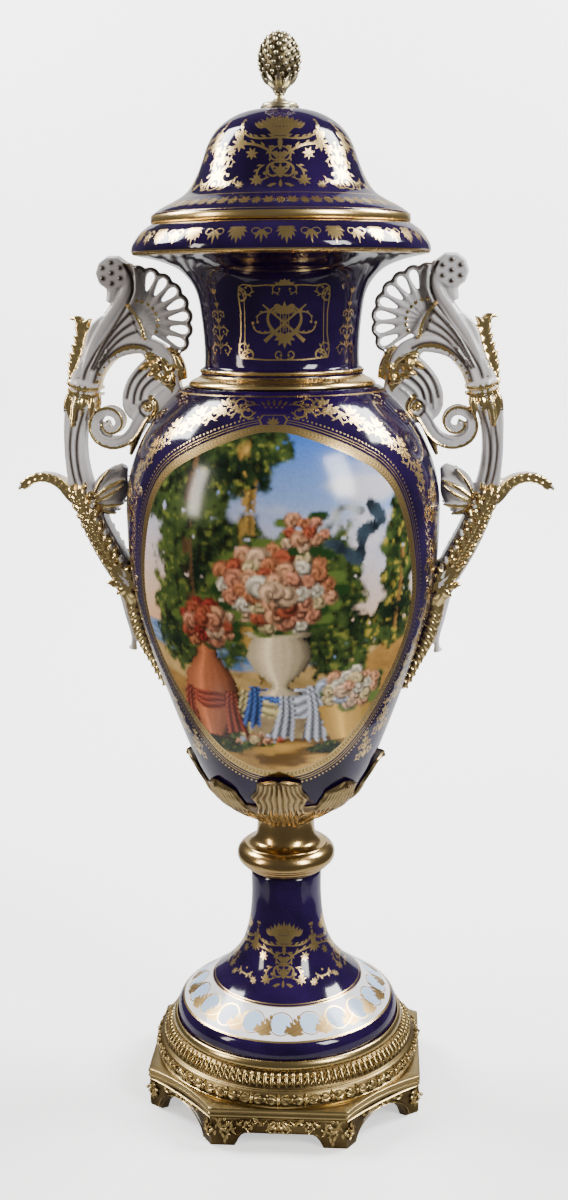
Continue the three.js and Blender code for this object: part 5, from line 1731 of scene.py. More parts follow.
def build_handle_parts():
    """Every lump of a handle, each with its tint, in the plane of the right-hand handle."""
    parts = [head_plate()]
    stem = in_handle([
        (89, 294, 34, 38), (103, 251, 31, 40), (114, 219, 27, 40), (119, 146, 23, 41), (115, 89, 24, 43),
        (103, 30, 28, 46), (77, -42, 30, 47), (48, -101, 31, 47), (19, -152, 29, 45), (-12, -192, 27, 38),
    ])
    parts.append(limb(stem, sides=20))
    smooth_stem = curve_through(stem, 6.0)
    left = sideways(smooth_stem[:, :2])
    for share in (-0.66, 0.0, 0.66):
        rows = smooth_stem[4:26].copy()
        rows[:, :2] += left[4:26] * (rows[:, 2:3] * share)
        depth = rows[:, 3] * (1.02 - 0.14 * abs(share))
        for face in (-1, 1):
            ridge = np.column_stack([rows[:, :2], np.full(len(rows), 3.0), np.full(len(rows), 2.4)])
            points, faces, tint = limb(ridge, sides=8, step=3.0)
            reach = np.interp(points[:, 2], rows[::-1, 1], depth[::-1])
            points[:, 1] += face * (reach - 0.6)
            parts.append((points, faces, tint))
    edge_rows = smooth_stem[4:48].copy()
    edge_rows[:, :2] -= left[4:48] * (edge_rows[:, 2:3] * 0.93)
    parts.append(limb(np.column_stack([edge_rows[:, :2], np.full(len(edge_rows), 2.0),
                                       edge_rows[:, 3] * 0.75]), sides=8))

    neck = [(179, 1012, 7.5, 18), (176, 998, 8, 18.5), (181, 982, 8.5, 18.5), (190, 969, 8.5, 18.5),
            (203, 951, 8.5, 18.5), (216, 931, 7.5, 18), (226, 910, 5.5, 17.5), (231, 892, 3.5, 17)]
    parts.append(limb(neck, sides=16))
    parts.append(limb([(168, 1014, 3, 15), (166, 1000, 2.8, 16), (167, 986, 2.8, 16.5),
                       (173, 972, 2.8, 16.5)], sides=10))
    parts.append(limb([(152, 982, 8, 7), (160, 968, 10, 8), (168, 954, 9, 9), (172, 946, 6, 10)], sides=10))
    flutes = [
        [(174, 968), (186, 953), (203, 931), (222, 898)], [(171, 957), (187, 944), (204, 926), (220, 894)],
        [(168, 947), (184, 938), (200, 923), (216, 896)], [(163, 938), (180, 933), (196, 920), (212, 898)],
    ]
    for k, flute in enumerate(flutes):
        parts.append(limb([spot + (2.7 - 0.2 * j, 17.6 - 0.3 * k) for j, spot in enumerate(flute)], sides=10))
    for x, z in ((207, 926), (211, 920), (215, 914), (219, 907)):
        parts += on_both_faces(pod, x - 7, z - 6, 1.2, 1.8, BROWN_PART, at=17.6)
    parts.append(limb([(150, 925, 3.2, 17), (159, 929.5, 3.6, 18), (175, 930.5, 3.8, 18.5),
                       (190, 925.5, 3.8, 18.5), (205, 913.5, 3.8, 18.5), (216, 900, 3.6, 18),
                       (222, 884, 3.4, 17)], sides=12))
    parts.append(limb([(158, 921, 4.5, 13), (172, 925, 5, 14), (188, 919.5, 5, 14), (201, 908, 5, 14),
                       (211, 895, 5, 14), (217, 879, 4.5, 14)], GILT_PART, sides=12))

    parts.append(limb([(196, 974, 7, 16), (192, 988, 10, 17), (191, 1000, 12, 18)], sides=14))
    roundel = pod(193.0, 1007.5, 21.0, 19.5, WHITE_PART)
    squashed = roundel[0].copy()
    squashed[:, 1] = np.clip(squashed[:, 1] * 2.4, -19.0, 19.0)
    parts.append((squashed, roundel[1], WHITE_PART))
    for x, z in roundel_beads:
        parts += on_both_faces(pod, x, z, 2.3, 2.0, WHITE_PART, at=19.0)

    for k in range(9):
        share = k / 8
        x, z = 173 - 15 * share - 3 * math.sin(share * math.pi), 969 - 33 * share
        parts += on_both_faces(limb, [(x - 2.4, z - 2.6, 1.6, 2.0), (x + 2.4, z + 2.6, 1.6, 2.0)], GILT_PART,
                               at=17.4)
    parts += build_fan()
    parts.append(limb([(143, 917, 6, 10), (129, 914, 8.5, 10), (120, 902, 7.5, 10), (115, 886, 5, 9)],
                      GILT_PART, sides=12))

    scroll_rows = [
        ([(140, 915), (153, 910), (166, 899), (177, 885), (183, 870), (184, 856)], 4.2, 17.0),
        ([(138, 906), (150, 901), (162, 891), (170, 879), (175, 866), (176, 853)], 4.0, 18.0),
        ([(136, 897), (148, 891), (158, 882), (165, 871), (168, 858)], 3.8, 18.6),
        ([(135, 887), (146, 880), (155, 872), (160, 863)], 3.6, 18.6),
        ([(136, 877), (145, 870), (150, 862)], 3.2, 17.6),
    ]
    for path, width, depth in scroll_rows:
        last = len(path) - 1
        parts.append(limb([spot + (width * (1 - 0.35 * j / last), depth) for j, spot in enumerate(path)],
                          sides=12))
    ring = round_spots(156, 855, 8.0, 0, 361, 30)
    parts.append(limb([spot + (2.2, 20.0) for spot in ring], sides=10, step=2.0))
    parts += on_both_faces(pod, 156, 855, 4.2, 4.0, GILT_PART, at=17.0)
    for x, z, heading, length, bend in (
        (127, 880, 96, 20, -20), (131, 893, 74, 22, -40), (136, 900, 40, 20, -30), (128, 896, 120, 14, 20),
        (140, 910, 20, 18, -30), (150, 905, -10, 16, -30), (139, 890, 30, 15, -40), (131, 882, 52, 14, -40),
    ):
        parts += on_both_faces(limb, leaf_bar(x, z, heading, length, 7.0, 3.4, bend), GILT_PART, at=17.2,
                               sides=8)
    for k in range(5):
        angle = math.radians(90 + 72 * k)
        parts += on_both_faces(pod, 145 + 4.4 * math.cos(angle), 902 + 4.4 * math.sin(angle), 2.7, 2.6,
                               GILT_PART, at=19.5)
    parts += on_both_faces(pod, 145, 902, 2.4, 3.4, GILT_PART, at=20.0)

    volute = [(158, 850), (166, 839), (173, 827), (181, 818.5), (192, 813.5), (204, 813.5), (215, 819),
              (220.5, 830), (218.5, 842), (211, 848.5), (201, 850), (193, 845), (190.5, 836.5), (195, 829),
              (202.5, 827), (208, 831), (207.5, 837)]
    widths = np.interp(np.linspace(0, 1, len(volute)), [0, 0.3, 0.7, 1], [8.0, 6.6, 4.6, 3.2])
    depths = np.interp(np.linspace(0, 1, len(volute)), [0, 0.3, 0.7, 1], [17.0, 16.5, 13.5, 11.0])
    rows = [spot + (wide, deep) for spot, wide, deep in zip(volute, widths, depths)]
    parts.append(limb(rows, sides=14, step=2.2))
    smooth = curve_through(rows, 2.2)
    outward = sideways(smooth[:, :2])
    for face in (-1, 1):
        for share in (-0.86, 0.86):
            edge = np.column_stack([smooth[:, :2] + outward * smooth[:, 2:3] * share,
                                    np.full(len(smooth), 1.35), np.full(len(smooth), 1.6)])
            points, faces, tint = limb(edge, GILT_PART if share < 0 else WHITE_PART, sides=8, step=2.2)
            stops = np.linspace(0, 1, (len(points) - 2) // 8)
            reach = np.interp(stops, np.linspace(0, 1, len(smooth)), smooth[:, 3])
            ring_depth = np.concatenate([np.repeat(reach, 8), smooth[[0, -1], 3]])
            points[:, 1] += face * (ring_depth - 0.4)
            parts.append((points, faces, tint))
    parts.append(limb([(203.5, 836, 4.2, 13.0), (206, 835.5, 4.2, 13.0)], GILT_PART, sides=12, square=2.0))
    parts.append(limb([(160, 846, 5, 13), (168, 829, 5, 12), (175, 812, 4, 10), (180, 798, 2, 6)], GILT_PART,
                      sides=12))

    for drop, width in ((0.0, 2.5), (-7.5, 2.1)):
        parts.append(limb([(211.5, 877 + drop, width, 21.0), (221, 875.5 + drop, width, 22.0),
                           (232, 876 + drop, width, 22.5), (243, 879.5 + drop, width, 22.0),
                           (250, 884 + drop, width, 20.0)],
                          GILT_PART, sides=12))
    for x, z, heading, length in ((219, 868, -84, 26), (228, 868, -78, 22), (237, 870, -76, 30),
                                  (246, 873, -72, 24)):
        parts += on_both_faces(limb, leaf_bar(x, z, heading, length, 8.0, 3.2, 6), GILT_PART, at=19.0,
                               sides=8)

    sprig = in_handle([(114, 286, 14, 18), (110, 336, 18, 22), (99, 375, 15, 18), (92, 415, 10, 14),
                       (100, 437, 8, 10), (126, 438, 2, 3)])
    parts.append(limb(sprig, GILT_PART, sides=12))
    path = curve_through(sprig, 11.0)
    for x, z, _, depth in path[:-2]:
        for heading in (118, 68):
            parts += on_both_faces(limb, leaf_bar(x, z - 6, heading, 17, 8.4, 3.6,
                                                  -24 if heading < 90 else 24), GILT_PART,
                                   at=depth * 0.8, sides=10)
    spur = in_handle([(104, 20, 26, 30), (128, 34, 22, 28), (153, 57, 17, 24), (183, 71, 13, 20),
                      (216, 71, 9, 15), (242, 57, 6, 10), (261, 43, 2, 4)])
    parts.append(limb(spur, GILT_PART, sides=12))
    path = curve_through(spur, 9.0)
    along = np.gradient(path[:, :2], axis=0)
    for k, (x, z, _, depth) in enumerate(path[:-2]):
        heading = math.degrees(math.atan2(along[k, 1], along[k, 0]))
        for lean in (40, -40):
            parts += on_both_faces(limb, leaf_bar(x, z, heading + lean, 12, 6.4, 3.0, -lean), GILT_PART,
                                   at=depth * 0.84, sides=8)
    parts.append(limb([(spot[0], spot[1] + spot[2] * 0.75, 2.4, spot[3] * 0.8) for spot in path[1:]],
                      WHITE_PART, sides=10))

    parts.append(limb(in_handle([(6, 100, 10, 18), (26, 72, 30, 30), (38, 36, 36, 34), (38, 8, 26, 26),
                                 (33, -8, 6, 10)]),
                      sides=14))
    for x, z, heading, length, width in ((222, 748, 136, 44, 13), (221, 745, 162, 40, 12),
                                         (219, 741, 190, 32, 11),
                                         (222, 754, 112, 36, 11), (217, 738, 212, 22, 9)):
        lobes = leaf_bar(x, z, heading, length, width, 7.0, 24 if heading < 150 else -24)
        parts += on_both_faces(limb, lobes, WHITE_PART, at=12.5, sides=12)
        spine = lobes.copy()
        spine[:, 2] = 1.2
        spine[:, 3] = 2.0
        parts += on_both_faces(limb, spine, GILT_PART, at=19.0, sides=8)
    for x, z in ((222, 742), (226, 752), (217, 734)):
        parts += on_both_faces(pod, x, z, 4.6, 5.0, GILT_PART, at=20.0)

    laurel = curve_through(laurel_path, 6.4)
    along = np.gradient(laurel, axis=0)
    along /= np.linalg.norm(along, axis=1)[:, None]
    for k, (x, z) in enumerate(laurel):
        heading = math.degrees(math.atan2(along[k, 1], along[k, 0])) + 180
        for share in (-1, 0, 1):
            shift = share * 6.4 + (1.6 if k % 2 else -1.6)
            spot = (x - along[k, 1] * shift - 3, z + along[k, 0] * shift)
            tint = WHITE_PART if (k + share) % 3 == 0 else GILT_PART
            parts += on_both_faces(limb, leaf_bar(*spot, heading - 26 * share, 9.5, 6.6, 5.2, -20 * share),
                                   tint, at=21.6, sides=10)

    parts.append(limb(in_handle([(34, -122, 20, 34), (8, -158, 38, 46), (-4, -196, 32, 42),
                                 (-11, -230, 18, 28)]),
                      GILT_PART, sides=14))
    for k in range(14):
        angle = k * 2.4
        reach = 14 * math.sqrt((k + 0.5) / 14)
        x, z = 188 + reach * math.cos(angle), 651 + reach * math.sin(angle)
        parts += on_both_faces(limb, leaf_bar(x, z, math.degrees(angle), 10, 6.5, 3.4, 30), GILT_PART,
                               at=20.0, sides=8)
    tail = in_handle([(-6, -215, 22, 28), (-16, -267, 20, 25), (-30, -316, 18, 22), (-52, -366, 13, 16),
                      (-69, -405, 10, 12), (-86, -433, 6, 7)])
    parts.append(limb(tail, GILT_PART, sides=14))
    for x, z, width, depth in curve_through(tail, 9.5)[1:-1]:
        parts += on_both_faces(limb, [(x - width * 0.62, z + 6, 1.5, 1.6), (x, z, 2.3, 3.6),
                                      (x + width * 0.62, z - 7, 1.5, 1.6)],
                               GILT_PART, at=depth * 0.86, sides=10)
    parts.append(limb(in_handle([(23, -200, 7, 9), (9, -259, 7, 9), (-3, -312, 6, 9), (-2, -334, 8, 11),
                                 (0, -341, 13, 13)]),
                      WHITE_PART, sides=12))
    return parts


def porcelain_gilt_finish():
    """White glaze edged with fired gilt; brown shows where the gilt is thin, and painted shade darkens the
    grooves.
    """
    made, tree, shader = new_finish("white_and_gilt_glaze")
    gilt = node(tree, "ShaderNodeAttribute", attribute_name="gilt")
    # This attribute holds the brown parts and the painted shade along the grooves.
    soot = node(tree, "ShaderNodeAttribute", attribute_name="soot")
    place = node(tree, "ShaderNodeTexCoord")
    breakup = node(tree, "ShaderNodeTexNoise",
                   {"Vector": place.outputs["Object"], "Scale": 150.0, "Detail": 4.0})
    shifted = node(tree, "ShaderNodeMath", {0: breakup.outputs["Fac"], 1: -0.5}, operation="ADD")
    rough_edge = node(tree, "ShaderNodeMath", {0: shifted.outputs[0], 1: 0.55, 2: gilt.outputs["Fac"]},
                      operation="MULTIPLY_ADD")
    coverage = node(tree, "ShaderNodeMapRange",
                    {"Value": rough_edge.outputs[0], "From Min": 0.36, "From Max": 0.56})
    clear_of_brown_and_shade = node(tree, "ShaderNodeMath", {0: 0.95, 1: soot.outputs["Fac"]}, operation="SUBTRACT")
    worn = node(tree, "ShaderNodeGroup", {
        "Bright": rgba(0.92, 0.70, 0.32), "Deep": rgba(0.50, 0.31, 0.10), "Clouds": 60.0, "Smooth": 0.2,
        "Dull": 0.42, "Relief": clear_of_brown_and_shade.outputs[0],
    }, node_tree=rubbed_gilding)
    glaze = node(tree, "ShaderNodeGroup", {
        "Thin": rgba(0.66, 0.64, 0.65), "Full": rgba(0.54, 0.52, 0.53), "Smooth": 0.1, "Dull": 0.2,
    }, node_tree=fired_glaze)
    # Darkens the glaze to brown on the brown parts, and as painted shade along the grooves.
    browned_and_shaded = node(tree, "ShaderNodeMix", {"Factor": soot.outputs["Fac"], "A": glaze.outputs["Colour"],
                                         "B": rgba(0.035, 0.02, 0.012)}, data_type="RGBA")
    colour = node(tree, "ShaderNodeMix", {"Factor": coverage.outputs["Result"], "A": browned_and_shaded.outputs["Result"],
                                          "B": worn.outputs["Colour"]}, data_type="RGBA")
    rough = node(tree, "ShaderNodeMix", {"Factor": coverage.outputs["Result"],
                                         "A": glaze.outputs["Roughness"],
                                         "B": worn.outputs["Roughness"]}, data_type="FLOAT")
    bump = node(tree, "ShaderNodeBump", {"Height": glaze.outputs["Height"], "Strength": 0.1,
                                         "Distance": 0.001})
    feed(tree, shader, {
        "Base Color": colour.outputs["Result"], "Roughness": rough.outputs["Result"],
        "Metallic": coverage.outputs["Result"], "Normal": bump.outputs["Normal"],
    })
    return made


def near_lines(points, lines, width):
    """1 on the drawn lines, fading to 0 at the width from them, seen from the side of the handle."""
    flat = points[:, [0, 2]]
    best = np.full(len(flat), 1e9)
    for line in lines:
        line = curve_through(line, 4.0) if len(line) > 2 else np.array(line, float)
        for start, end in zip(line[:-1], line[1:]):
            span = end - start
            share = np.clip(((flat - start) @ span) / (span @ span), 0, 1)
            best = np.minimum(best, np.linalg.norm(flat - start - share[:, None] * span, axis=1))
    return np.clip(1.5 - best / width, 0, 1)


def build_handle():
    """One handle as a single skin over all its lumps, with its gilding and grooves marked."""
    parts = build_handle_parts()
    points = np.vstack([part[0] for part in parts])
    faces = []
    start = 0
    tints = []
    for part_points, part_faces, tint in parts:
        faces += [[corner + start for corner in face] for face in part_faces]
        start += len(part_points)
        tints += [tint] * len(part_points)
    rough = add_mesh("handle_lumps", points, faces, [])
    skin = rough.modifiers.new("skin", "REMESH")
    skin.mode = "VOXEL"
    skin.voxel_size = HANDLE_VOXEL * MM
    soften = rough.modifiers.new("soften", "SMOOTH")
    soften.factor = 0.5
    soften.iterations = 2
    seen = rough.evaluated_get(bpy.context.evaluated_depsgraph_get())
    mesh = bpy.data.meshes.new_from_object(seen)
    rough.modifiers.clear()
    bpy.data.objects.remove(rough)
    spots = np.empty(len(mesh.vertices) * 3, np.float32)
    mesh.vertices.foreach_get("co", spots)
    spots = spots.reshape(-1, 3) / MM
    radius = np.hypot(spots[:, 0], spots[:, 1])
    outside = slice(1, body_outside_rows)
    wall = np.interp(spots[:, 2], body_profile[outside, 1], body_profile[outside, 0]) + 0.3
    spots[:, :2] *= np.maximum(wall / radius, 1.0)[:, None]
    spots[:, 0] = np.minimum(spots[:, 0], HANDLE_TIP)
    mesh.vertices.foreach_set("co", (spots * MM).astype(np.float32).ravel())
    mesh.update()
    tree = KDTree(len(points))
    for k, spot in enumerate(points):
        tree.insert(spot, k)
    tree.balance()
    nearest = np.array([tree.find(spot)[1] for spot in spots])
    tint = np.array(tints)[nearest]
    gilt = np.where(tint == GILT_PART, 1.0, np.where(tint == BROWN_PART, 0.25, 0.0))
    # Brown on the brown parts; the painted shade of the grooves joins it below.
    soot = np.where(tint == BROWN_PART, 0.9, 0.0)
    return mesh, spots, gilt, soot


# The handle's grooves, darkened along these lines as painted shade.
groove_lines = [
    [(178, 1017), (171, 1004), (170, 991), (173.5, 978), (183, 962), (197, 941), (214, 919), (227, 897),
     (230, 888)],
    [(174, 962), (188, 948), (204, 928), (220, 900)], [(170, 952), (186, 941), (202, 924), (217, 899)],
    [(166, 942), (182, 935), (198, 921), (213, 899)],
    [(150, 921), (160, 925.5), (175, 926.5), (189, 921.5), (203, 910), (213, 897), (218, 884)],
    [(143, 909), (156, 904), (168, 893), (176, 880), (180, 866)],
    [(142, 900), (154, 894), (164, 884), (170, 872), (172, 860)],
    [(141, 891), (152, 885), (161, 875), (164, 864)],
    [(231, 850), (239, 821), (240, 796), (236, 770), (226, 745)],
    [(245, 834), (248, 809), (246, 783), (241, 762)],
    [(217, 739), (204, 716), (193, 697), (184, 678), (182, 664)],
    [(152, 864), (162, 860), (165, 852), (160, 845)],
]
gilt_lines = [
    [(231, 862), (239, 852), (241, 842)], [(247, 866), (247, 850), (243, 838)],
    [(236, 858), (242, 846), (243, 836)], [(152, 866), (146, 858), (147, 848)],
]
handle_mesh, handle_spots, handle_gilt, handle_brown_and_groove_shade = build_handle()
on_face_of_handle = np.abs(handle_spots[:, 1]) > 8
# Painted shade: the grooves are darkened along their lines.
handle_brown_and_groove_shade = np.maximum(handle_brown_and_groove_shade, near_lines(handle_spots, groove_lines, 1.9) * on_face_of_handle * 0.95)
handle_gilt = np.maximum(handle_gilt, near_lines(handle_spots, [laurel_path], LAUREL_WIDTH)
                         * on_face_of_handle * 0.8)
bead_lines = [[(x - 0.2, z), (x + 0.2, z)] for x, z in roundel_beads]
handle_brown_and_groove_shade = np.maximum(handle_brown_and_groove_shade, near_lines(handle_spots, bead_lines, 2.9) * on_face_of_handle)
handle_gilt = np.maximum(handle_gilt, near_lines(handle_spots, gilt_lines, 3.2) * on_face_of_handle)
handle_finish = porcelain_gilt_finish()
for name, values in (("gilt", handle_gilt), ("soot", handle_brown_and_groove_shade)):
    layer = handle_mesh.attributes.new(name, "FLOAT", "POINT")
    layer.data.foreach_set("value", values.astype(np.float32))
handle_mesh.materials.clear()
handle_mesh.materials.append(handle_finish)
handle_mesh.shade_smooth()
for name, turn in (("right", 0.0), ("left", math.pi)):
    mesh = handle_mesh if turn == 0 else handle_mesh.copy()
    mesh.transform(Matrix.Rotation(turn, 4, "Z"))
    handle = bpy.data.objects.new("porcelain_handle_" + name, mesh)
    bpy.context.collection.objects.link(handle)
    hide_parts("handle_" + name)
    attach(handle, "root")

# Lid
# A bell-shaped porcelain lid with a wide flange, resting on the mouth by a lip that drops inside
# it. Cobalt glazed with four gilt baskets among scrolls and a leaf chain; white inside.

LID_BOTTOM = 1060.0
LID_RISE = 124.7
LID_WALL = 7.0
LID_TOP = LID_BOTTOM + LID_RISE
LIP_RADIUS = 136.0
LIP_DROP = 12.0
LID_TURN = 4.0

lid_dome = curve_through([(147, 1069.6), (138, 1076.2), (107.2, 1094.3), (95.7, 1111.1), (88.3, 1128.6),
                          (81.4, 1147.3), (69.5, 1164.7), (46.9, 1179.1), (21.8, LID_TOP),
                          (0.0, LID_TOP + 0.1)], 4.5)
lid_hollow = (lid_dome + sideways(lid_dome) * LID_WALL)[::-2]
lid_hollow = lid_hollow[lid_hollow[:, 0] < LIP_RADIUS - LID_WALL - 2]
lid_profile = np.vstack([
    [(0, LID_TOP - LID_WALL)], lid_hollow[1:],
    [(129, LID_BOTTOM + 6), (129, LID_BOTTOM - LIP_DROP + 0.8), (129.8, LID_BOTTOM - LIP_DROP),
     (134.2, LID_BOTTOM - LIP_DROP), (135, LID_BOTTOM - LIP_DROP + 0.8), (LIP_RADIUS - 0.4, LID_BOTTOM - 1.5),
     (LIP_RADIUS, LID_BOTTOM), (145.6, LID_BOTTOM), (147, LID_BOTTOM + 1.2), (147.4, LID_BOTTOM + 4.8)],
    lid_dome[:-1], [(0, LID_TOP)],
])
lid_edge = int(np.flatnonzero(lid_profile[:, 0] >= 145)[0])


def lid_run(level):
    return run_at(lid_profile, level, lid_edge, len(lid_profile) - 1)


lid_drawing = laid(basket_among_scrolls(), lid_profile, GILT, 0, lid_run(1149))
lid_drawing += laid(both_sides([disc(6 + 7 * k, 15, 1.4) for k in range(3)]), lid_profile, BROWN, 0,
                    lid_run(1149))
side_motif = [stroke(np.array(round_spots(0, 0, 8.2, 0, 361, 20)), [1.1, 1.1]), disc(0, 0, 3.2, 10)]
side_motif += [petal(0, 9, 90 + turn, 13, 4.2, -turn * 0.4) for turn in (-70, -35, 0, 35, 70)]
side_motif += both_sides(leafy_scroll(4, 16, 30, 32, 40, 250, 1.0, 7, 5))
side_motif += both_sides(leafy_scroll(8, -6, -30, 24, 60, 250, 0.9, 6, 4))
side_motif += both_sides(leafy_scroll(2, 24, 60, 30, -60, -230, 0.9, 6, 5))
side_motif += [petal(0, 24, 90, 22, 5), disc(0, 48, 1.8)]
lid_drawing += laid(side_motif, lid_profile, GILT, 45, lid_run(1099))
flange_low = lid_run(1072.4)
flange_high = lid_run(1087.6)
flange_middle = (flange_low + flange_high) / 2
lid_drawing += [
    hoop(GILT, length_along(lid_profile)[lid_edge] + 1.2, lid_run(1069.4)),
    hoop(GILT, flange_low - 2.0, flange_low - 0.9), hoop(GILT, flange_high + 1.0, flange_high + 2.2),
]
wave_angle = np.linspace(-4, 49, 160)
wave = np.column_stack([wave_angle, flange_middle + 3.6 * np.cos(np.radians(wave_angle * 32))])
lid_drawing.append((GILT, np.vstack([wave + [0, 0.6], (wave - [0, 0.6])[::-1]])))
for k in range(9):
    up = 1 if k % 2 == 0 else -1
    spray = [petal(turn / 20, up * 4.5, -up * (90 + turn), 15.0 - abs(turn) * 0.07, 5.6, turn * 0.4)
             for turn in (-78, -44, -14, 14, 44, 78)]
    lid_drawing += laid(spray + [disc(0, up * 5, 2.0)], lid_profile, BROWN if k % 2 else GILT, k * 5.625,
                        flange_middle)


def lid_twist(along):
    """Turns the lid's drawing a little, as it sits on the real piece."""
    return np.where(along > 0, LID_TURN, 0.0)


inside_run = length_along(lid_profile)[lid_edge]
lid_drawing.insert(0, hoop(WHITE, 0.0, inside_run - 9.4))
lid, _, _ = drawn_vessel("porcelain_lid", lid_profile, 0, 45, 20, lid_drawing, PORCELAIN, twist=lid_twist)
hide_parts("lid")
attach(lid, "root")

# Finial
# A cast pine cone of pale gilt bronze on a thin flared stem and a moulded disc, with a calyx of
# pointed leaves. It is screwed down through the lid's crown.

FINIAL_BOTTOM = LID_TOP + CLEARANCE
CONE_FOOT = 21.0
CONE_RISE = 63.0
CONE_RADIUS = 22.8
CONE_SCALES = 128


def build_cone_tree():
    """Geometry nodes that spread scales evenly over an egg, each facing outwards and upright."""
    tree, sockets, given, row, number = start_of_copies("scales_over_an_egg", {
        "Radius": "Float", "Half Height": "Float",
    })

    def total(kind, *values):
        return sum_in(tree, kind, *values)

    share = total("DIVIDE", total("ADD", number, 0.5), given["Count"])
    up = total("MULTIPLY_ADD", share, 1.94, -0.94)
    out_share = total("SQRT", total("SUBTRACT", 1.0, total("MULTIPLY", up, up)))
    turn = total("MULTIPLY", number, math.radians(137.508))
    side = total("MULTIPLY", out_share, total("COSINE", turn))
    front = total("MULTIPLY", out_share, total("SINE", turn))
    spot = node(tree, "ShaderNodeCombineXYZ", {
        "X": total("MULTIPLY", side, given["Radius"]), "Y": total("MULTIPLY", front, given["Radius"]),
        "Z": total("MULTIPLY", up, given["Half Height"]),
    })
    facing = node(tree, "ShaderNodeCombineXYZ", {
        "X": side, "Y": front,
        "Z": total("MULTIPLY", up, total("DIVIDE", given["Radius"], given["Half Height"])),
    })
    placed = node(tree, "GeometryNodeSetPosition", {"Geometry": row, "Position": spot.outputs[0]})
    outwards = node(tree, "FunctionNodeAlignRotationToVector", {"Vector": facing.outputs[0]}, axis="Z")
    upright = node(tree, "FunctionNodeAlignRotationToVector", {
        "Rotation": outwards.outputs[0], "Vector": (0.0, 0.0, 1.0),
    }, axis="Y", pivot_axis="Z")
    end_of_copies(tree, given, {
        "Points": placed.outputs[0], "Rotation": upright.outputs[0],
        "Scale": total("MULTIPLY_ADD", out_share, 0.42, 0.6),
    })
    return tree, sockets


def cone_scale():
    """One scale of the cone: a plump shield that stands out most at its upper edge."""
    spread = np.radians(np.arange(0, 360, 30))
    rings = [(0.0, 1.9), (0.35, 1.85), (0.62, 1.5), (0.85, 0.75), (1.0, -0.5), (0.8, -1.6)]
    points = [np.array([(0, 0.4, rings[0][1])])]
    for reach, rise in rings[1:]:
        x = 2.75 * reach * np.cos(spread)
        y = 3.2 * reach * np.sin(spread)
        points.append(np.column_stack([x, y, rise + 0.25 * y * (reach < 0.9)]))
    points.append(np.array([(0, 0, -1.6)]))
    points = np.vstack(points)
    count = len(spread)
    faces = (grid_faces(len(rings) - 1, count, closed=True)[:, ::-1] + 1).tolist()
    last = len(points) - 1
    for j in range(count):
        k = (j + 1) % count
        faces.append((0, 1 + j, 1 + k))
        faces.append((last, last - count + k, last - count + j))
    made = add_mesh("cone_scale", points, faces, [finial_bronze], smooth=60)
    set_relief(made, np.clip(points[:, 2] / 2.2 + 0.2, 0, 1))
    return made


finial_bronze = bronze_finish("finial_bronze", (0.74, 0.66, 0.44), (0.10, 0.07, 0.03), 60.0, 0.24, 0.5)
finial_profile = np.array([
    (0, 0), (21.2, 0), (21.8, 0.7), (21.8, 2.6), (20.6, 3.4), (19.8, 4.6), (19.8, 5.6), (17.4, 6.6),
    (12.4, 7.6), (9.0, 8.6), (6.6, 10.2), (5.2, 12.4), (4.6, 14.0), (5.6, 15.0), (5.6, 16.2), (4.5, 17.2),
    (4.3, 19.0), (5.0, 21.5), (7.0, 24.5), (10.4, 28.0),
])
egg = np.radians(np.linspace(-58, 90, 26))
cone_middle = CONE_FOOT + CONE_RISE / 2
finial_profile = np.vstack([
    finial_profile, np.column_stack([(CONE_RADIUS - 1.2) * np.cos(egg),
                                     cone_middle + (CONE_RISE / 2 - 2.4) * np.sin(egg)]),
]) + np.array([0, FINIAL_BOTTOM])
finial_profile[-1, 0] = 0.0
finial_points, finial_faces = weld(*turned(finial_profile, 64))
finial = add_mesh("finial_core", finial_points, finial_faces, [finial_bronze], smooth=40)
core_level = finial_points[:, 2] - FINIAL_BOTTOM
set_relief(finial, np.where(core_level > 26, 0.1, 0.62))
scales = grown_by_tree("finial_scales", build_cone_tree(), {
    "Motif": cone_scale(), "Count": CONE_SCALES, "Radius": CONE_RADIUS * MM,
    "Half Height": (CONE_RISE / 2 - 1.9) * MM, "Finish": finial_bronze,
})
scales.data.transform(Matrix.Translation((0, 0, (FINIAL_BOTTOM + cone_middle) * MM)))
calyx = blade(0, 0, 90, 27, 10.5, 2.6, rib=0.5, steps=9)
calyx_bed = finial_profile[15:36] + np.array([1.6, 0])
calyx_ring = ring_of_relief(
    "finial_calyx", on_turned(calyx_bed, 0.0, [calyx]), [calyx], 9, finial_bronze, 0.0, 1.0, 2.2)
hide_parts("finial")
for carved in (finial, scales, calyx_ring):
    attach(carved, "root")

# Stage
# A pale paper sweep, two large soft lights on the vase, two on the paper, and the camera. The
# paper is darker in reflections than it is in view, which keeps the cobalt deep.

PAPER_TONE = 0.9
PAPER_GLOSSY_TONE = 0.25
PAPER_GLOW = 0.75
PAPER_GLOSSY_GLOW = 0.2
sweep_turn = np.radians(np.arange(-90, 1, 6))
sweep = np.vstack([
    [(-370, 0), (150, 0), (600, 0)],
    np.column_stack([1700 + 700 * np.cos(sweep_turn), 700 + 700 * np.sin(sweep_turn)]),
    [(2400, 3400)],
])
half_width = np.interp(sweep[:, 0], [-370, 600, 1700], [600, 680, 1080])
paper_points = np.vstack([np.column_stack([half_width * side, sweep]) for side in (1, -1)])
backdrop = add_mesh("backdrop", paper_points, grid_faces(2, len(sweep)), [], smooth=90)
paper, paper_tree, paper_shader = new_finish("paper")
gloss_ray = node(paper_tree, "ShaderNodeLightPath").outputs["Is Glossy Ray"]
shade = node(paper_tree, "ShaderNodeMix", {
    "Factor": gloss_ray, "A": rgba(*[PAPER_TONE] * 3), "B": rgba(*[PAPER_GLOSSY_TONE] * 3),
}, data_type="RGBA")
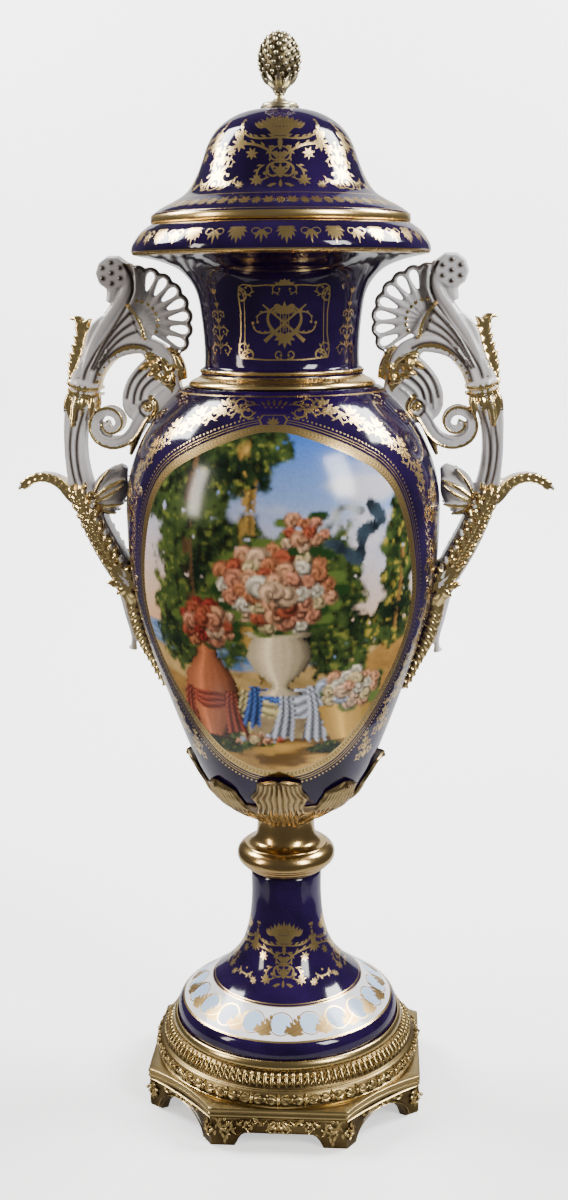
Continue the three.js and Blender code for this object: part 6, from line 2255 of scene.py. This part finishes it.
glow = node(paper_tree, "ShaderNodeMath", {
    0: gloss_ray, 1: PAPER_GLOSSY_GLOW - PAPER_GLOW, 2: PAPER_GLOW,
}, operation="MULTIPLY_ADD")
feed(paper_tree, paper_shader, {
    "Base Color": shade.outputs["Result"], "Roughness": 0.9, "Specular IOR Level": 0.12,
    "Emission Color": rgba(1.0, 1.0, 1.0), "Emission Strength": glow.outputs[0],
})
backdrop.data.materials.append(paper)


def soft_light(name, spot, aim, width, height, watts, tint):
    """A rectangular soft light that faces the point it is aimed at."""
    lamp = bpy.data.lights.new(name, "AREA")
    lamp.shape = "RECTANGLE"
    lamp.size = width
    lamp.size_y = height
    lamp.energy = watts
    lamp.color = tint
    made = bpy.data.objects.new(name, lamp)
    bpy.context.collection.objects.link(made)
    facing = (Vector(aim) - Vector(spot)).to_track_quat("-Z", "Y")
    made.matrix_world = Matrix.Translation(spot) @ facing.to_matrix().to_4x4()
    return made


soft_light("key_light", (2.3, -2.0, 2.3), (0, 0, 0.7), 0.9, 1.7, 135, (1.0, 0.99, 0.97))
soft_light("fill_light", (-2.7, -1.5, 1.5), (0, 0, 0.6), 0.5, 1.6, 55, (1.0, 0.91, 0.8))
soft_light("paper_light_left", (-1.9, 0.7, 2.6), (0.0, 2.2, 0.9), 1.2, 1.2, 210, (1.0, 1.0, 1.0))
soft_light("paper_light_right", (1.9, 0.7, 2.6), (0.0, 2.2, 0.9), 1.2, 1.2, 210, (1.0, 1.0, 1.0))
room = bpy.data.worlds.new("room")
room.use_nodes = True
room.node_tree.nodes["Background"].inputs["Color"].default_value = rgba(1.0, 0.98, 0.95)
room.node_tree.nodes["Background"].inputs["Strength"].default_value = 0.13
bpy.context.scene.world = room

CAMERA_DISTANCE = 1.709
CAMERA_HEIGHT = 0.989
CAMERA_SIDE = math.radians(4.0)
CAMERA_DIP = math.radians(12.07)
CAMERA_ROLL = math.radians(-0.485)
lens = bpy.data.cameras.new("camera")
lens.lens = 43.73
lens.sensor_width = 36.0
camera = bpy.data.objects.new("camera", lens)
bpy.context.collection.objects.link(camera)
camera_spot = (CAMERA_DISTANCE * math.sin(CAMERA_SIDE), -CAMERA_DISTANCE * math.cos(CAMERA_SIDE),
               CAMERA_HEIGHT)
camera.matrix_world = (
    Matrix.Translation(camera_spot)
    @ Matrix.Rotation(CAMERA_SIDE, 4, "Z")
    @ Matrix.Rotation(math.radians(90) - CAMERA_DIP, 4, "X")
    @ Matrix.Rotation(CAMERA_ROLL, 4, "Z")
)
bpy.context.scene.camera = camera
